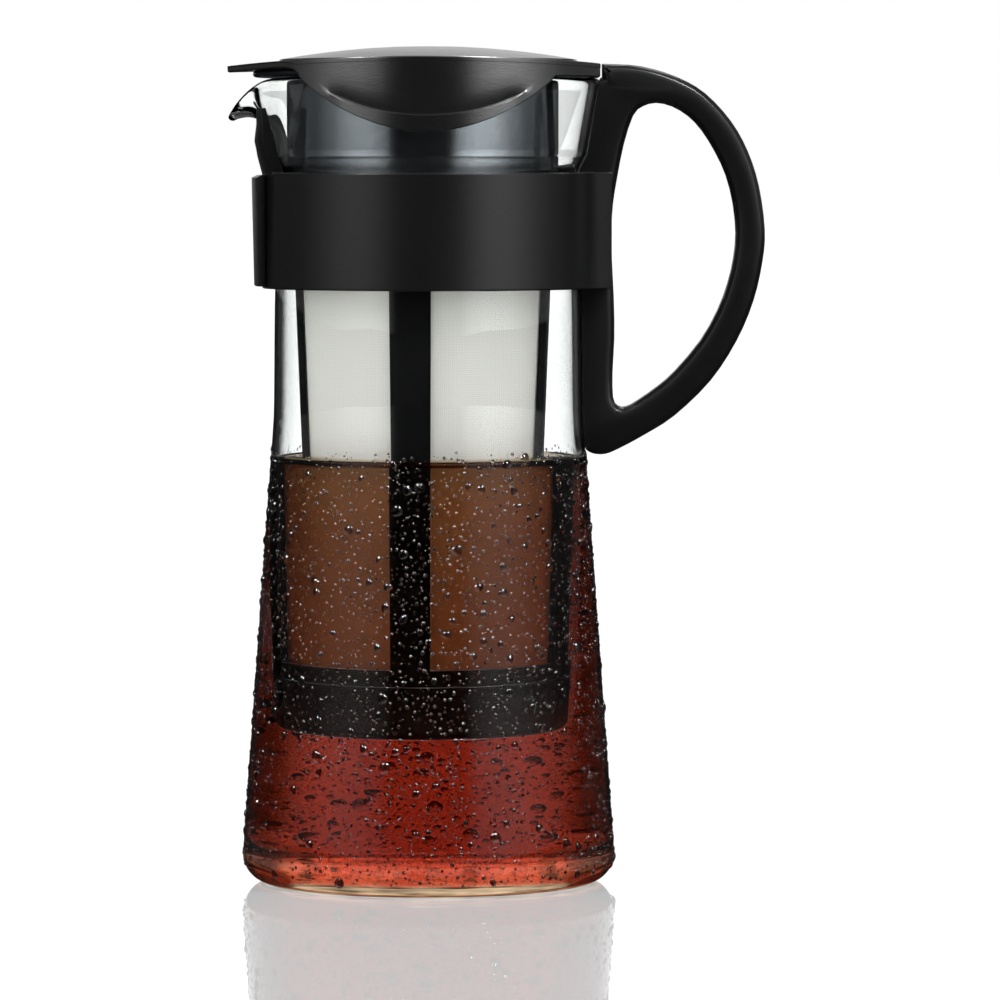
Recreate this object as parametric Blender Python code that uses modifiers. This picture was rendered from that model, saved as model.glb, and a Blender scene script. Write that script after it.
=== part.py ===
"""Cold brew coffee pot: a spouted glass bowl in a strap handle, with a hanging basket strainer and a lift-off lid.

Metres, +Z up. The origin is on the bowl's axis at the middle of its flat foot. The spout points to -X and
the handle to +X.
"""

import math

import bmesh
import bpy
from mathutils import Vector

# Driving sizes of the whole pot
BODY_RADIUS = 0.0471  # widest radius of the bowl, just above the foot
RIM_RADIUS = 0.0433  # outer radius of the bowl's plain rim
RIM_HEIGHT = 0.2030  # top of the plain rim
CUP_HEIGHT = 0.0236  # from the strap to the plain rim
BAND_HEIGHT = 0.0292  # of the strap round the neck
HANDLE_REACH = 0.0850  # from the bowl's axis to the outside of the grip

GAP = 0.0003  # clearance kept between pieces that touch
CUT = 0.0200  # how far a cutter runs past what it cuts

BAND_TOP = RIM_HEIGHT - CUP_HEIGHT
BAND_BOTTOM = BAND_TOP - BAND_HEIGHT

for old in list(bpy.data.objects):
    bpy.data.objects.remove(old, do_unlink=True)

parts = bpy.data.collections.new("cold_brew_pot")
cutters = bpy.data.collections.new("cutters")
bpy.context.scene.collection.children.link(parts)
bpy.context.scene.collection.children.link(cutters)


def linear(channel):
    """One sRGB channel, 0 to 255, as a linear value."""
    c = channel / 255
    return c / 12.92 if c <= 0.04045 else ((c + 0.055) / 1.055) ** 2.4


def finish(name, colour, roughness, metallic=0.0, see_through=0.0):
    """A plain material from an sRGB hex colour."""
    material = bpy.data.materials.new(name)
    material.use_nodes = True
    shader = material.node_tree.nodes["Principled BSDF"]
    rgb = [linear(int(colour[i : i + 2], 16)) for i in (0, 2, 4)]
    shader.inputs["Base Color"].default_value = (*rgb, 1.0)
    shader.inputs["Roughness"].default_value = roughness
    shader.inputs["Metallic"].default_value = metallic
    shader.inputs["Transmission Weight"].default_value = see_through
    return material


def place(name, mesh, material=None, home=parts):
    """Puts a mesh in the scene as one named object."""
    obj = bpy.data.objects.new(name, mesh)
    home.objects.link(obj)
    if material is not None:
        mesh.materials.clear()
        mesh.materials.append(material)
    if home is cutters:
        obj.hide_render = True
        obj.display_type = "WIRE"
    return obj


def lathe(name, profile, steps, home=parts, material=None):
    """Turns a profile of (radius, height) points about +Z. It runs down its outer side, top to bottom."""
    mesh = bpy.data.meshes.new(name)
    points = [(r, 0.0, z) for r, z in profile]
    closed = profile[0][0] > 0 and profile[-1][0] > 0
    edges = [(i, i + 1) for i in range(len(points) - 1)]
    if closed:
        edges.append((len(points) - 1, 0))
    mesh.from_pydata(points, edges, [])
    obj = place(name, mesh, material, home)
    screw = obj.modifiers.new("turn", "SCREW")
    screw.axis = "Z"
    screw.angle = math.tau
    screw.steps = steps
    screw.render_steps = steps
    screw.use_merge_vertices = True
    screw.merge_threshold = 0.00001
    screw.use_smooth_shade = False
    return obj


def settle(obj):
    """Replaces an object's modifiers by the mesh that they make, with its doubles merged."""
    bpy.context.view_layer.update()
    source = obj.evaluated_get(bpy.context.evaluated_depsgraph_get())
    mesh = bpy.data.meshes.new_from_object(source)
    shape = bmesh.new()
    shape.from_mesh(mesh)
    bmesh.ops.remove_doubles(shape, verts=shape.verts, dist=0.000002)
    bmesh.ops.recalc_face_normals(shape, faces=shape.faces)
    shape.to_mesh(mesh)
    shape.free()
    matrix = obj.matrix_world.copy()
    name, home = obj.name, obj.users_collection[0]
    bpy.data.objects.remove(obj, do_unlink=True)
    mesh.transform(matrix)
    return place(name, mesh, None, home)


def curve_path(points, per_span, closed=False):
    """Points of a smooth curve through the given ones, per_span of them for each span."""
    count = len(points)
    spans = count if closed else count - 1
    path = []
    for i in range(spans):
        if closed:
            a, b, c, d = (Vector(points[(i + k) % count]) for k in (-1, 0, 1, 2))
        else:
            a, b, c, d = (Vector(points[min(max(i + k, 0), count - 1)]) for k in (-1, 0, 1, 2))
        for step in range(per_span):
            t = step / per_span
            path.append(
                0.5 * (2 * b + (c - a) * t + (2 * a - 5 * b + 4 * c - d) * t * t
                       + (3 * b - a - 3 * c + d) * t ** 3)
            )
    if not closed:
        path.append(Vector(points[-1]))
    return [(p.x, p.y) for p in path]


def arc(centre, radius, start, end, steps):
    """Points on an arc in a plane, angles in degrees."""
    return [
        (
            centre[0] + radius * math.cos(math.radians(start + (end - start) * i / steps)),
            centre[1] + radius * math.sin(math.radians(start + (end - start) * i / steps)),
        )
        for i in range(steps + 1)
    ]


def plate(name, outlines, low, high, plane="XY", edge=0.0, home=cutters):
    """A flat outline made solid from low to high along the axis that its plane leaves out.

    Planes are XY (solid along Z), XZ (along Y) and YZ (along X). edge rounds both rims.
    """
    curve = bpy.data.curves.new(name, "CURVE")
    curve.dimensions = "2D"
    curve.fill_mode = "BOTH"
    curve.extrude = (high - low) / 2 - edge
    if edge:
        curve.bevel_depth = edge
        curve.offset = -edge
        curve.bevel_resolution = 2
    for outline in outlines:
        spline = curve.splines.new("POLY")
        spline.points.add(len(outline) - 1)
        for point, (u, v) in zip(spline.points, outline):
            point.co = (u, v, 0.0, 1.0)
        spline.use_cyclic_u = True
    obj = place(name, curve, None, home)
    middle = (high + low) / 2
    if plane == "XY":
        obj.location = (0.0, 0.0, middle)
    elif plane == "XZ":
        obj.location = (0.0, middle, 0.0)
        obj.rotation_euler = (math.pi / 2, 0.0, 0.0)
    else:
        obj.location = (middle, 0.0, 0.0)
        obj.rotation_euler = (math.pi / 2, 0.0, math.pi / 2)
    return settle(obj)


def combine(obj, other, how):
    """Adds a Boolean that cuts, joins or keeps the overlap with another object."""
    if other.users_collection[0] is not cutters:
        other.users_collection[0].objects.unlink(other)
        cutters.objects.link(other)
    other.hide_render = True
    other.display_type = "WIRE"
    cut = obj.modifiers.new(how.lower(), "BOOLEAN")
    cut.operation = how
    cut.object = other


def polar(radius, degrees):
    return (radius * math.cos(math.radians(degrees)), radius * math.sin(math.radians(degrees)))


# Glass bowl: blown borosilicate, one wall all round, with a beak pulled out of the rim on the spout side
WALL = 0.0018
FLOOR = 0.0035
FOOT_CORNER = 0.0070
SHOULDER_DROP = 0.0422  # from the strap down to where the cone turns into the upright upper body
SHOULDER_INSET = 0.0035  # how much narrower than the rim the bowl is at the shoulder
WAIST_INSET = 0.0046  # just below the strap
NECK_INSET = 0.0054  # behind the strap
NECK_LEAD = 0.0035  # height of the slope between waist and neck
CUP_ROOT_RISE = 0.0045  # from the strap's top to the foot of the flared cup
CUP_ROOT_INSET = 0.0033
BEAK_REACH = 0.0080  # how far the beak's lip stands out past the plain rim
BEAK_DROP = 0.0100  # how far its tip lies below the plain rim
BEAK_ANGLE = 12.5  # degrees, half width of the pull
BEAK_THROAT_RISE = 0.0138  # height above the cup's foot at which the beak's floor leaves the wall
GLASS_STEPS = 48

SHOULDER_RADIUS = RIM_RADIUS - SHOULDER_INSET
WAIST_RADIUS = RIM_RADIUS - WAIST_INSET
NECK_RADIUS = RIM_RADIUS - NECK_INSET
CUP_ROOT_RADIUS = RIM_RADIUS - CUP_ROOT_INSET
SHOULDER_HEIGHT = BAND_BOTTOM - SHOULDER_DROP
CUP_ROOT = BAND_TOP + CUP_ROOT_RISE
MID_ROOT = CUP_ROOT_RADIUS - WALL / 2
MID_RIM = RIM_RADIUS - WALL / 2
FLARE_HEIGHT = RIM_HEIGHT - CUP_ROOT


def glass_outside():
    """The bowl's outer side from the foot of the cup down to the foot's flat, as (radius, height)."""
    neck_low = BAND_BOTTOM + NECK_LEAD
    straight = SHOULDER_HEIGHT + (BAND_BOTTOM - SHOULDER_HEIGHT) / 3
    side = [
        (NECK_RADIUS + (CUP_ROOT_RADIUS - NECK_RADIUS) * 0.70, CUP_ROOT - CUP_ROOT_RISE * 0.25),
        (NECK_RADIUS + (CUP_ROOT_RADIUS - NECK_RADIUS) * 0.12, BAND_TOP + CUP_ROOT_RISE * 0.20),
        (NECK_RADIUS, BAND_TOP - CUP_ROOT_RISE * 0.15),
        (NECK_RADIUS, neck_low),
        (WAIST_RADIUS, BAND_BOTTOM),
        (WAIST_RADIUS + (SHOULDER_RADIUS - WAIST_RADIUS) * 0.30, straight),
        (WAIST_RADIUS + (SHOULDER_RADIUS - WAIST_RADIUS) * 0.55, (straight + SHOULDER_HEIGHT) / 2),
        (SHOULDER_RADIUS, SHOULDER_HEIGHT),
    ]
    slope = math.atan2(BODY_RADIUS - SHOULDER_RADIUS, SHOULDER_HEIGHT - FOOT_CORNER)
    centre = (BODY_RADIUS - FOOT_CORNER / math.cos(slope), FOOT_CORNER)
    start = math.degrees(slope)
    side += arc(centre, FOOT_CORNER, start, -90.0, 6)
    return side


OUTSIDE = glass_outside()
FOOT_RADIUS = OUTSIDE[-1][0]


def outer_radius(height):
    """The bowl's outer radius at a height between its foot and the plain rim."""
    line = [(RIM_RADIUS, RIM_HEIGHT), (CUP_ROOT_RADIUS, CUP_ROOT), *OUTSIDE]
    for (r_high, z_high), (r_low, z_low) in zip(line, line[1:]):
        if z_low <= height <= z_high and z_high > z_low:
            return r_low + (r_high - r_low) * (height - z_low) / (z_high - z_low)
    return line[0][0] if height > RIM_HEIGHT else line[-1][0]


def glass_profile():
    """The wall's closed section: up the inner side from the axis, over the lip and down the outer side."""
    inner = []
    for r, z in reversed(OUTSIDE[:-7]):
        inner.append((r - WALL, z))
    deep = FOOT_CORNER - WALL
    low = OUTSIDE[-7][0] - WALL
    floor = arc((low - deep, FLOOR + deep), deep, -90.0, 0.0, 4)
    lip = []
    cup_shares = (0.0, 0.28, 0.52, 0.72, 0.86)
    for share in cup_shares:
        lip.append((MID_ROOT + (MID_RIM - MID_ROOT) * share - WALL / 2, CUP_ROOT + FLARE_HEIGHT * share))
    top = RIM_HEIGHT - WALL / 2
    lip += arc((MID_RIM, top), WALL / 2, 180.0, 0.0, 4)
    for share in reversed(cup_shares):
        lip.append((MID_ROOT + (MID_RIM - MID_ROOT) * share + WALL / 2, CUP_ROOT + FLARE_HEIGHT * share))
    return [(0.0, FLOOR), *floor, *inner, *lip, *OUTSIDE, (0.0, 0.0)]


def beak(point):
    """Where a point of the turned bowl goes when the beak is pulled out of the rim."""
    radius = math.hypot(point.x, point.y)
    if radius < GAP:
        return point
    turn = math.atan2(point.y, -point.x)
    turn -= 0.35 * math.sin(turn)
    if point.z > CUP_ROOT:
        rise = min((point.z - CUP_ROOT) / FLARE_HEIGHT, 1.0)
        middle = MID_ROOT + (MID_RIM - MID_ROOT) * rise
        off = radius - middle
        weight = math.exp(-((math.degrees(turn) / BEAK_ANGLE) ** 2))
        start = Vector((MID_ROOT, CUP_ROOT))
        throat = Vector((MID_ROOT + GAP, CUP_ROOT + BEAK_THROAT_RISE))
        tip = Vector((MID_RIM + BEAK_REACH, RIM_HEIGHT - BEAK_DROP))
        path = start * (1 - rise) ** 2 + throat * 2 * rise * (1 - rise) + tip * rise * rise
        along = ((throat - start) * (1 - rise) + (tip - throat) * rise).normalized()
        out = Vector((along.y, -along.x))
        pulled = path + out * off
        down = weight * (0.62 + 0.38 * weight * weight)
        radius = radius * (1 - weight) + pulled.x * weight
        point.z = point.z * (1 - down) + pulled.y * down
    point.x = -radius * math.cos(turn)
    point.y = radius * math.sin(turn)
    return point


GLASS = finish("borosilicate_glass", "f4f7f6", 0.03, see_through=1.0)
bowl = settle(lathe("glass_bowl", glass_profile(), GLASS_STEPS))
for vertex in bowl.data.vertices:
    vertex.co = beak(vertex.co)
bowl.data.materials.append(GLASS)


def around_glass(name, reach):
    """A cutter shaped like the bowl's outer side, that much larger than the glass all round."""
    line = [(RIM_RADIUS + reach, RIM_HEIGHT + reach), (CUP_ROOT_RADIUS + reach, CUP_ROOT)]
    line += [(r + reach, z) for r, z in OUTSIDE[:-6]]
    return settle(lathe(name, [(0.0, line[0][1]), *line, (0.0, line[-1][1])], GLASS_STEPS, cutters))


BLACK = finish("moulded_polypropylene", "17181a", 0.45)

# Strap: the ring of the handle moulding that wraps the neck. It is open at the spout, where each end carries
# half a dovetail and one arm of the spout's cradle
BAND_CLEAR = 0.0007  # from the glass at the waist to the strap between its two inner lips
BAND_WALL = 0.0026
BAND_LIP = 0.0030  # height of the two inner lips that grip the glass
BAND_STEPS = 72
SPLIT = 0.0030  # gap between the strap's two ends
DOVETAIL_ROOT = 0.0040  # half width of the dovetail at the strap
DOVETAIL_FLARE = 0.0007
DOVETAIL_RISE = 0.0010

band_inner = WAIST_RADIUS + BAND_CLEAR
band_radius = band_inner + BAND_WALL
lip_high = NECK_RADIUS + GAP
lip_low = WAIST_RADIUS + GAP
band = lathe(
    "strap",
    [
        (band_radius - GAP, BAND_TOP),
        (band_radius, BAND_TOP - GAP),
        (band_radius, BAND_BOTTOM + GAP),
        (band_radius - GAP, BAND_BOTTOM),
        (lip_low, BAND_BOTTOM),
        (lip_low, BAND_BOTTOM + BAND_LIP),
        (band_inner, BAND_BOTTOM + BAND_LIP + GAP),
        (band_inner, BAND_TOP - BAND_LIP - GAP),
        (lip_high + GAP, BAND_TOP - BAND_LIP),
        (lip_high + GAP, BAND_TOP),
    ],
    BAND_STEPS,
    cutters,
)

bottom = BAND_BOTTOM - CUT
top = BAND_TOP + CUT

# Cradle: the arms that stand on the strap's ends, one on each side of the beak
CRADLE_BULGE = 0.0022  # how far the arms stand out past the strap at their widest
CRADLE_DROP = 0.0075  # from the plain rim down to the tips of the arms
CRADLE_ELBOW_RISE = 0.0078  # from the strap's top to where the arms stand out furthest
CRADLE_TIP_WALL = 0.0010
CRADLE_TIP_CLEAR = 0.0012  # from the plain cup to the arms, whose tips stand beside the beak
CRADLE_ROOT_HALF = 0.0158  # half width over both arms at the strap
CRADLE_TIP_HALF = 0.0134
CRADLE_TIP_GAP_HALF = 0.0098  # half width between the tips, where the beak passes

cradle_top = RIM_HEIGHT - CRADLE_DROP
elbow = BAND_TOP + CRADLE_ELBOW_RISE
tip_radius = outer_radius(cradle_top) + CRADLE_TIP_CLEAR
arms = lathe(
    "cradle_shell",
    [
        (tip_radius + CRADLE_TIP_WALL, cradle_top),
        (band_radius + CRADLE_BULGE, elbow),
        (band_radius, BAND_TOP - GAP),
        (band_radius, BAND_TOP - BAND_LIP / 2),
        (band_inner, BAND_TOP - BAND_LIP / 2),
        (band_inner, BAND_TOP),
        (outer_radius(CUP_ROOT) + GAP * 2, CUP_ROOT),
        (tip_radius, cradle_top),
    ],
    BAND_STEPS,
    cutters,
)
arms = settle(arms)
arm_low = BAND_TOP - BAND_LIP
half_arm = [
    (SPLIT / 2, arm_low),
    (CRADLE_ROOT_HALF, arm_low),
    (CRADLE_ROOT_HALF, elbow),
    (CRADLE_TIP_HALF, cradle_top + CUT),
    (CRADLE_TIP_GAP_HALF, cradle_top + CUT),
    (CRADLE_TIP_GAP_HALF, cradle_top - (cradle_top - elbow) / 2),
    (SPLIT / 2 + DOVETAIL_ROOT, elbow - CRADLE_BULGE),
    (SPLIT / 2, BAND_TOP + CRADLE_BULGE),
]
arm_outlines = [half_arm, [(-y, z) for y, z in reversed(half_arm)]]
arm_shape = plate("cradle_arms", arm_outlines, -BODY_RADIUS - CUT, 0.0, "YZ")
combine(arm_shape, arms, "INTERSECT")
arm_shape = settle(arm_shape)
combine(band, arm_shape, "UNION")


def dovetail(name, spread, low, high):
    """The strap's dovetail, or with a spread the channel for it, on the spout side."""
    root = band_radius - BAND_WALL / 2
    out = band_radius + DOVETAIL_RISE + spread
    narrow, wide = DOVETAIL_ROOT + spread, DOVETAIL_ROOT + DOVETAIL_FLARE + spread
    outline = [(-root, -narrow), (-root, narrow), (-band_radius, narrow), (-out, wide), (-out, -wide)]
    outline.append((-band_radius, -narrow))
    return plate(name, [outline], low, high)


LOCK_MARGIN = 0.0006  # the lock plate is this much shorter than the strap at each end
combine(band, dovetail("strap_dovetail", 0.0, BAND_BOTTOM + LOCK_MARGIN, BAND_TOP - LOCK_MARGIN), "UNION")
split_outline = [(-BODY_RADIUS - CUT, -SPLIT / 2), (-BODY_RADIUS - CUT, SPLIT / 2), (0.0, SPLIT / 2)]
split_outline.append((0.0, -SPLIT / 2))
split_cut = plate("split_cut", [split_outline], bottom, top + CUT)
combine(band, split_cut, "DIFFERENCE")
band = settle(band)

# Band lock: a curved plate that slides up over the dovetail and holds the strap's two ends together
LOCK_WALL = 0.0023
LOCK_HALF_ANGLE = 15.5
LOCK_TAPER = 0.0006  # the plate thins by this much towards its lower edge
LOCK_BEVEL = 0.0014
LOCK_TRAVEL = 0.0340

lock_in = band_radius + GAP
lock_out = lock_in + LOCK_WALL
lock_top = BAND_TOP - LOCK_MARGIN
lock_bottom = BAND_BOTTOM + LOCK_MARGIN
lock_shell = lathe(
    "lock_shell",
    [
        (lock_in, lock_top),
        (lock_out - LOCK_BEVEL, lock_top),
        (lock_out, lock_top - LOCK_BEVEL / 2),
        (lock_out - LOCK_TAPER, lock_bottom + GAP),
        (lock_out - LOCK_TAPER - GAP, lock_bottom),
        (lock_in, lock_bottom),
    ],
    BAND_STEPS * 2,
    cutters,
)
lock_shell = settle(lock_shell)
reach = lock_out + CUT
wedge = [(0.0, 0.0), polar(reach, 180 - LOCK_HALF_ANGLE), polar(reach, 180 + LOCK_HALF_ANGLE)]
lock = plate("band_lock", [wedge], lock_bottom - CUT, lock_top + CUT, home=parts)
lock.data.materials.append(BLACK)
combine(lock, lock_shell, "INTERSECT")
channel = dovetail("lock_channel", GAP, lock_bottom - CUT, lock_top + CUT)
combine(lock, channel, "DIFFERENCE")

# Handle: one polypropylene moulding, a D grip with its upright against the glass and a saddle that sweeps
# into the strap
HANDLE_RISE = 0.0037  # from the plain rim up to the top of the handle
HANDLE_DROP = 0.0423  # from the strap down to its foot
HANDLE_HALF = 0.0052  # half width of upright and grip
HANDLE_EDGE = 0.0022  # rounding of their edges
LID_NOTCH = 0.0005  # gap between the lid's flat end and the handle
UPRIGHT_DEPTH = 0.0076  # from the glass side to the finger opening
SADDLE_ANGLE = 23.5  # degrees from the handle side at which the saddle leaves the strap
SADDLE_BLEND = 0.0190  # radius of its sweep to the upright

upright_in = RIM_RADIUS + LID_NOTCH
inner_side = NECK_RADIUS - BAND_WALL
reach_out = HANDLE_REACH - upright_in
root_depth = upright_in - inner_side
handle_foot = BAND_BOTTOM - HANDLE_DROP
height = RIM_HEIGHT + HANDLE_RISE - handle_foot
grip_outer_shares = (
    (0.00, 1.000), (0.04, 1.000), (0.242, 0.994), (0.457, 0.967), (0.629, 0.926), (0.788, 0.855),
    (0.892, 0.778), (0.960, 0.690), (0.997, 0.580), (0.984, 0.499), (0.929, 0.397), (0.825, 0.294),
    (0.665, 0.192), (0.445, 0.103), (0.261, 0.054), (0.110, 0.020), (0.02, 0.005), (-0.29, 0.007),
    (-0.55, 0.022), (-0.73, 0.042),
)
grip_inner_shares = (
    (0.190, 0.868), (0.250, 0.892), (0.333, 0.901), (0.430, 0.892), (0.530, 0.867), (0.613, 0.830),
    (0.695, 0.775), (0.760, 0.716), (0.803, 0.645), (0.820, 0.570), (0.806, 0.505), (0.770, 0.440),
    (0.708, 0.371), (0.604, 0.294), (0.451, 0.218), (0.347, 0.179), (0.218, 0.141), (0.150, 0.126),
    (0.100, 0.128), (0.070, 0.150), (0.066, 0.215), (0.077, 0.300), (0.074, 0.400), (0.062, 0.500),
    (0.059, 0.580), (0.068, 0.645), (0.093, 0.710), (0.132, 0.793),
)


def shares_to_sizes(shares):
    """Shares as (x, z) points. A share below zero is one of the depth from the lid's end to the glass."""
    return [
        (upright_in + u * (reach_out if u > 0 else root_depth), handle_foot + v * height) for u, v in shares
    ]


outer_line = curve_path(shares_to_sizes(grip_outer_shares), 3)
outer_line += [(inner_side, outer_line[-1][1]), (inner_side, RIM_HEIGHT - GAP)]
outer_line += [(upright_in, RIM_HEIGHT + GAP)]
opening = curve_path(shares_to_sizes(grip_inner_shares), 2, closed=True)
handle = plate(
    "handle", [outer_line, opening], -HANDLE_HALF, HANDLE_HALF, "XZ", edge=HANDLE_EDGE, home=parts
)
handle.data.materials.append(BLACK)

blend_y = (band_radius + SADDLE_BLEND) * math.sin(math.radians(SADDLE_ANGLE))
blend_x = (band_radius + SADDLE_BLEND) * math.cos(math.radians(SADDLE_ANGLE))
upright_out = upright_in + min(u for u, v in grip_inner_shares) * reach_out
end_turn = math.degrees(math.acos((upright_out - HANDLE_EDGE - blend_x) / SADDLE_BLEND))
blend = SADDLE_BLEND + GAP / 2
half_saddle = arc((blend_x, blend_y), blend, 180 + SADDLE_ANGLE, 360 - end_turn, 6)
saddle_root = polar(band_radius - BAND_WALL / 2, SADDLE_ANGLE)
saddle_outline = [saddle_root, *half_saddle, (upright_out, half_saddle[-1][1] - HANDLE_EDGE)]
saddle_outline += [(x, -y) for x, y in reversed(saddle_outline)]
saddle = plate("saddle", [saddle_outline], BAND_BOTTOM + GAP / 2, BAND_TOP - GAP / 2)
combine(handle, saddle, "UNION")
combine(handle, band, "UNION")
combine(handle, around_glass("handle_seat", GAP), "DIFFERENCE")

# Strainer collar: a polypropylene tube that hangs by its flange on the rim and stands against the neck on
# the spout side. Three slots in its lower end take the basket's lugs
COLLAR_PLAY = 0.0018  # from the inside of the neck to the collar, if it stood in the middle
COLLAR_WALL = 0.0016
COLLAR_RISE = 0.0068  # from the strap's lower edge up to the collar's foot
FLANGE_INSET = 0.0004  # how much narrower than the glass rim the flange is
FLANGE_WALL = 0.0018
SIDE_GAP = 0.0004  # between collar and neck on the spout side
SLOT_WIDTH = 0.0060
SLOT_RUN = 26.0  # degrees of twist
LUG_COUNT = 3
LUG_HALF = 0.0022
LUG_TALL = 0.0026
LUG_RISE = 0.0012
LUG_FLOOR = 0.0044  # from the collar's foot to the underside of the lugs
COLLAR_STEPS = 48
STRAINER_TURN = -5.0  # the strainer stands turned by this much about its axis
STRAINER_LIFT = 0.1800
LID_LIFT = 0.0450

collar_radius = NECK_RADIUS - WALL - COLLAR_PLAY
flange_radius = RIM_RADIUS - FLANGE_INSET
STRAINER_X = SIDE_GAP - COLLAR_PLAY
collar_foot = BAND_BOTTOM + COLLAR_RISE
collar_in = collar_radius - COLLAR_WALL
flange_low = RIM_HEIGHT + GAP
flange_top = flange_low + FLANGE_WALL
round_edge = arc((flange_radius - FLANGE_WALL / 2, flange_low + FLANGE_WALL / 2), FLANGE_WALL / 2, 90.0, -90.0, 4)
collar = lathe(
    "strainer_collar",
    [
        (collar_in + GAP, flange_top),
        *round_edge,
        (collar_radius, flange_low),
        (collar_radius, collar_foot),
        (collar_in, collar_foot),
        (collar_in, flange_top - GAP),
    ],
    COLLAR_STEPS,
)
collar.data.materials.append(finish("collar_polypropylene", "1b1d20", 0.3))
collar.location.x = STRAINER_X


def turned_block(name, inner, outer, half_width, low, high, degrees, spread=0.0):
    """A radial block at an angle about the strainer's axis, for lugs, ribs and slots."""
    arc_half = math.degrees(half_width / outer)
    first, last = degrees - arc_half, degrees + arc_half + spread
    steps = max(1, round((last - first) / 7))
    ring = [polar(outer, first + (last - first) * i / steps) for i in range(steps + 1)]
    ring += [polar(inner, last - (last - first) * i / steps) for i in range(steps + 1)]
    ring = [(x + STRAINER_X, y) for x, y in ring]
    return plate(name, [ring], low, high)


lug_low = collar_foot + LUG_FLOOR
slot_half = SLOT_WIDTH / 2
for i in range(LUG_COUNT):
    angle = 60.0 + STRAINER_TURN + i * 360.0 / LUG_COUNT
    run = turned_block(
        f"slot_run_{i}", collar_in - COLLAR_WALL, collar_radius + COLLAR_WALL, LUG_HALF + GAP * 2,
        lug_low - GAP, lug_low + LUG_TALL + GAP, angle, SLOT_RUN,
    )
    entry = turned_block(
        f"slot_entry_{i}", collar_in - COLLAR_WALL, collar_radius + COLLAR_WALL, slot_half,
        collar_foot - CUT, lug_low + LUG_TALL / 2, angle + SLOT_RUN,
    )
    combine(run, entry, "UNION")
    run = settle(run)
    combine(collar, run, "DIFFERENCE")

# Basket frame: one polypropylene moulding, a top ring with lugs, four ribs and a lower ring round the mesh
FRAME_REACH = 0.0142  # how far the frame stands up into the collar
FRAME_TAPER = 0.0041  # how much narrower the frame is at its foot than at its top
FRAME_FOOT = 0.0514  # lower edge of the lower ring
FRAME_WALL = 0.0018
RING_RISE = 0.0028  # from the strap's lower edge up to the top ring's
LOWER_RING = 0.0040
RIB_WIDTH = 0.0103
RIB_COUNT = 4
FRAME_STEPS = 48
CUP_FOOT = 0.0379
CUP_CORNER = 0.0020
MESH_WALL = 0.0004
SPIGOT = 0.0026

frame_top = collar_foot + FRAME_REACH
frame_top_radius = collar_in - GAP
frame_foot_radius = frame_top_radius - FRAME_TAPER
ring_low = BAND_BOTTOM + RING_RISE
taper = (frame_top_radius - frame_foot_radius) / (ring_low - FRAME_FOOT)


def basket_radius(height):
    """The basket's outer radius at a height: a cone below the top ring and upright in it."""
    return min(frame_foot_radius + taper * (height - FRAME_FOOT), frame_top_radius)


frame = lathe(
    "basket_frame",
    [
        (frame_top_radius, frame_top),
        (frame_top_radius, ring_low),
        (basket_radius(FRAME_FOOT), FRAME_FOOT),
        (basket_radius(FRAME_FOOT) - FRAME_WALL, FRAME_FOOT),
        (frame_top_radius - FRAME_WALL, ring_low),
        (frame_top_radius - FRAME_WALL, frame_top),
    ],
    FRAME_STEPS,
)
frame.data.materials.append(BLACK)
frame.location.x = STRAINER_X
window_low = FRAME_FOOT + LOWER_RING
rib_half = RIB_WIDTH / 2
for i in range(RIB_COUNT):
    rib_angle = -90.0 + STRAINER_TURN + i * 360.0 / RIB_COUNT
    margin = math.degrees(rib_half / basket_radius((window_low + ring_low) / 2))
    window = turned_block(
        f"window_{i}", frame_foot_radius - FRAME_WALL * 3, collar_radius + COLLAR_WALL, GAP,
        window_low, ring_low, rib_angle + margin, 360.0 / RIB_COUNT - 2 * margin,
    )
    combine(frame, window, "DIFFERENCE")
for i in range(LUG_COUNT):
    angle = 60.0 + STRAINER_TURN + i * 360.0 / LUG_COUNT
    lug = turned_block(
        f"lug_{i}", frame_top_radius - FRAME_WALL / 2, frame_top_radius + LUG_RISE, LUG_HALF,
        lug_low, lug_low + LUG_TALL, angle,
    )
    combine(frame, lug, "UNION")

# Filter mesh: a sleeve of fine polyester mesh behind the ribs, held between top ring and bottom cup
mesh_out = -FRAME_WALL - GAP
mesh_low = FRAME_FOOT + SPIGOT + GAP
mesh_high = ring_low + LOWER_RING
sleeve = lathe(
    "filter_mesh",
    [
        (basket_radius(mesh_high) + mesh_out, mesh_high),
        (basket_radius(ring_low) + mesh_out, ring_low),
        (basket_radius(mesh_low) + mesh_out, mesh_low),
        (basket_radius(mesh_low) + mesh_out - MESH_WALL, mesh_low),
        (basket_radius(ring_low) + mesh_out - MESH_WALL, ring_low),
        (basket_radius(mesh_high) + mesh_out - MESH_WALL, mesh_high),
    ],
    FRAME_STEPS,
)
sleeve.data.materials.append(finish("polyester_mesh", "cfcecc", 0.6))
sleeve.location.x = STRAINER_X

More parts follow.
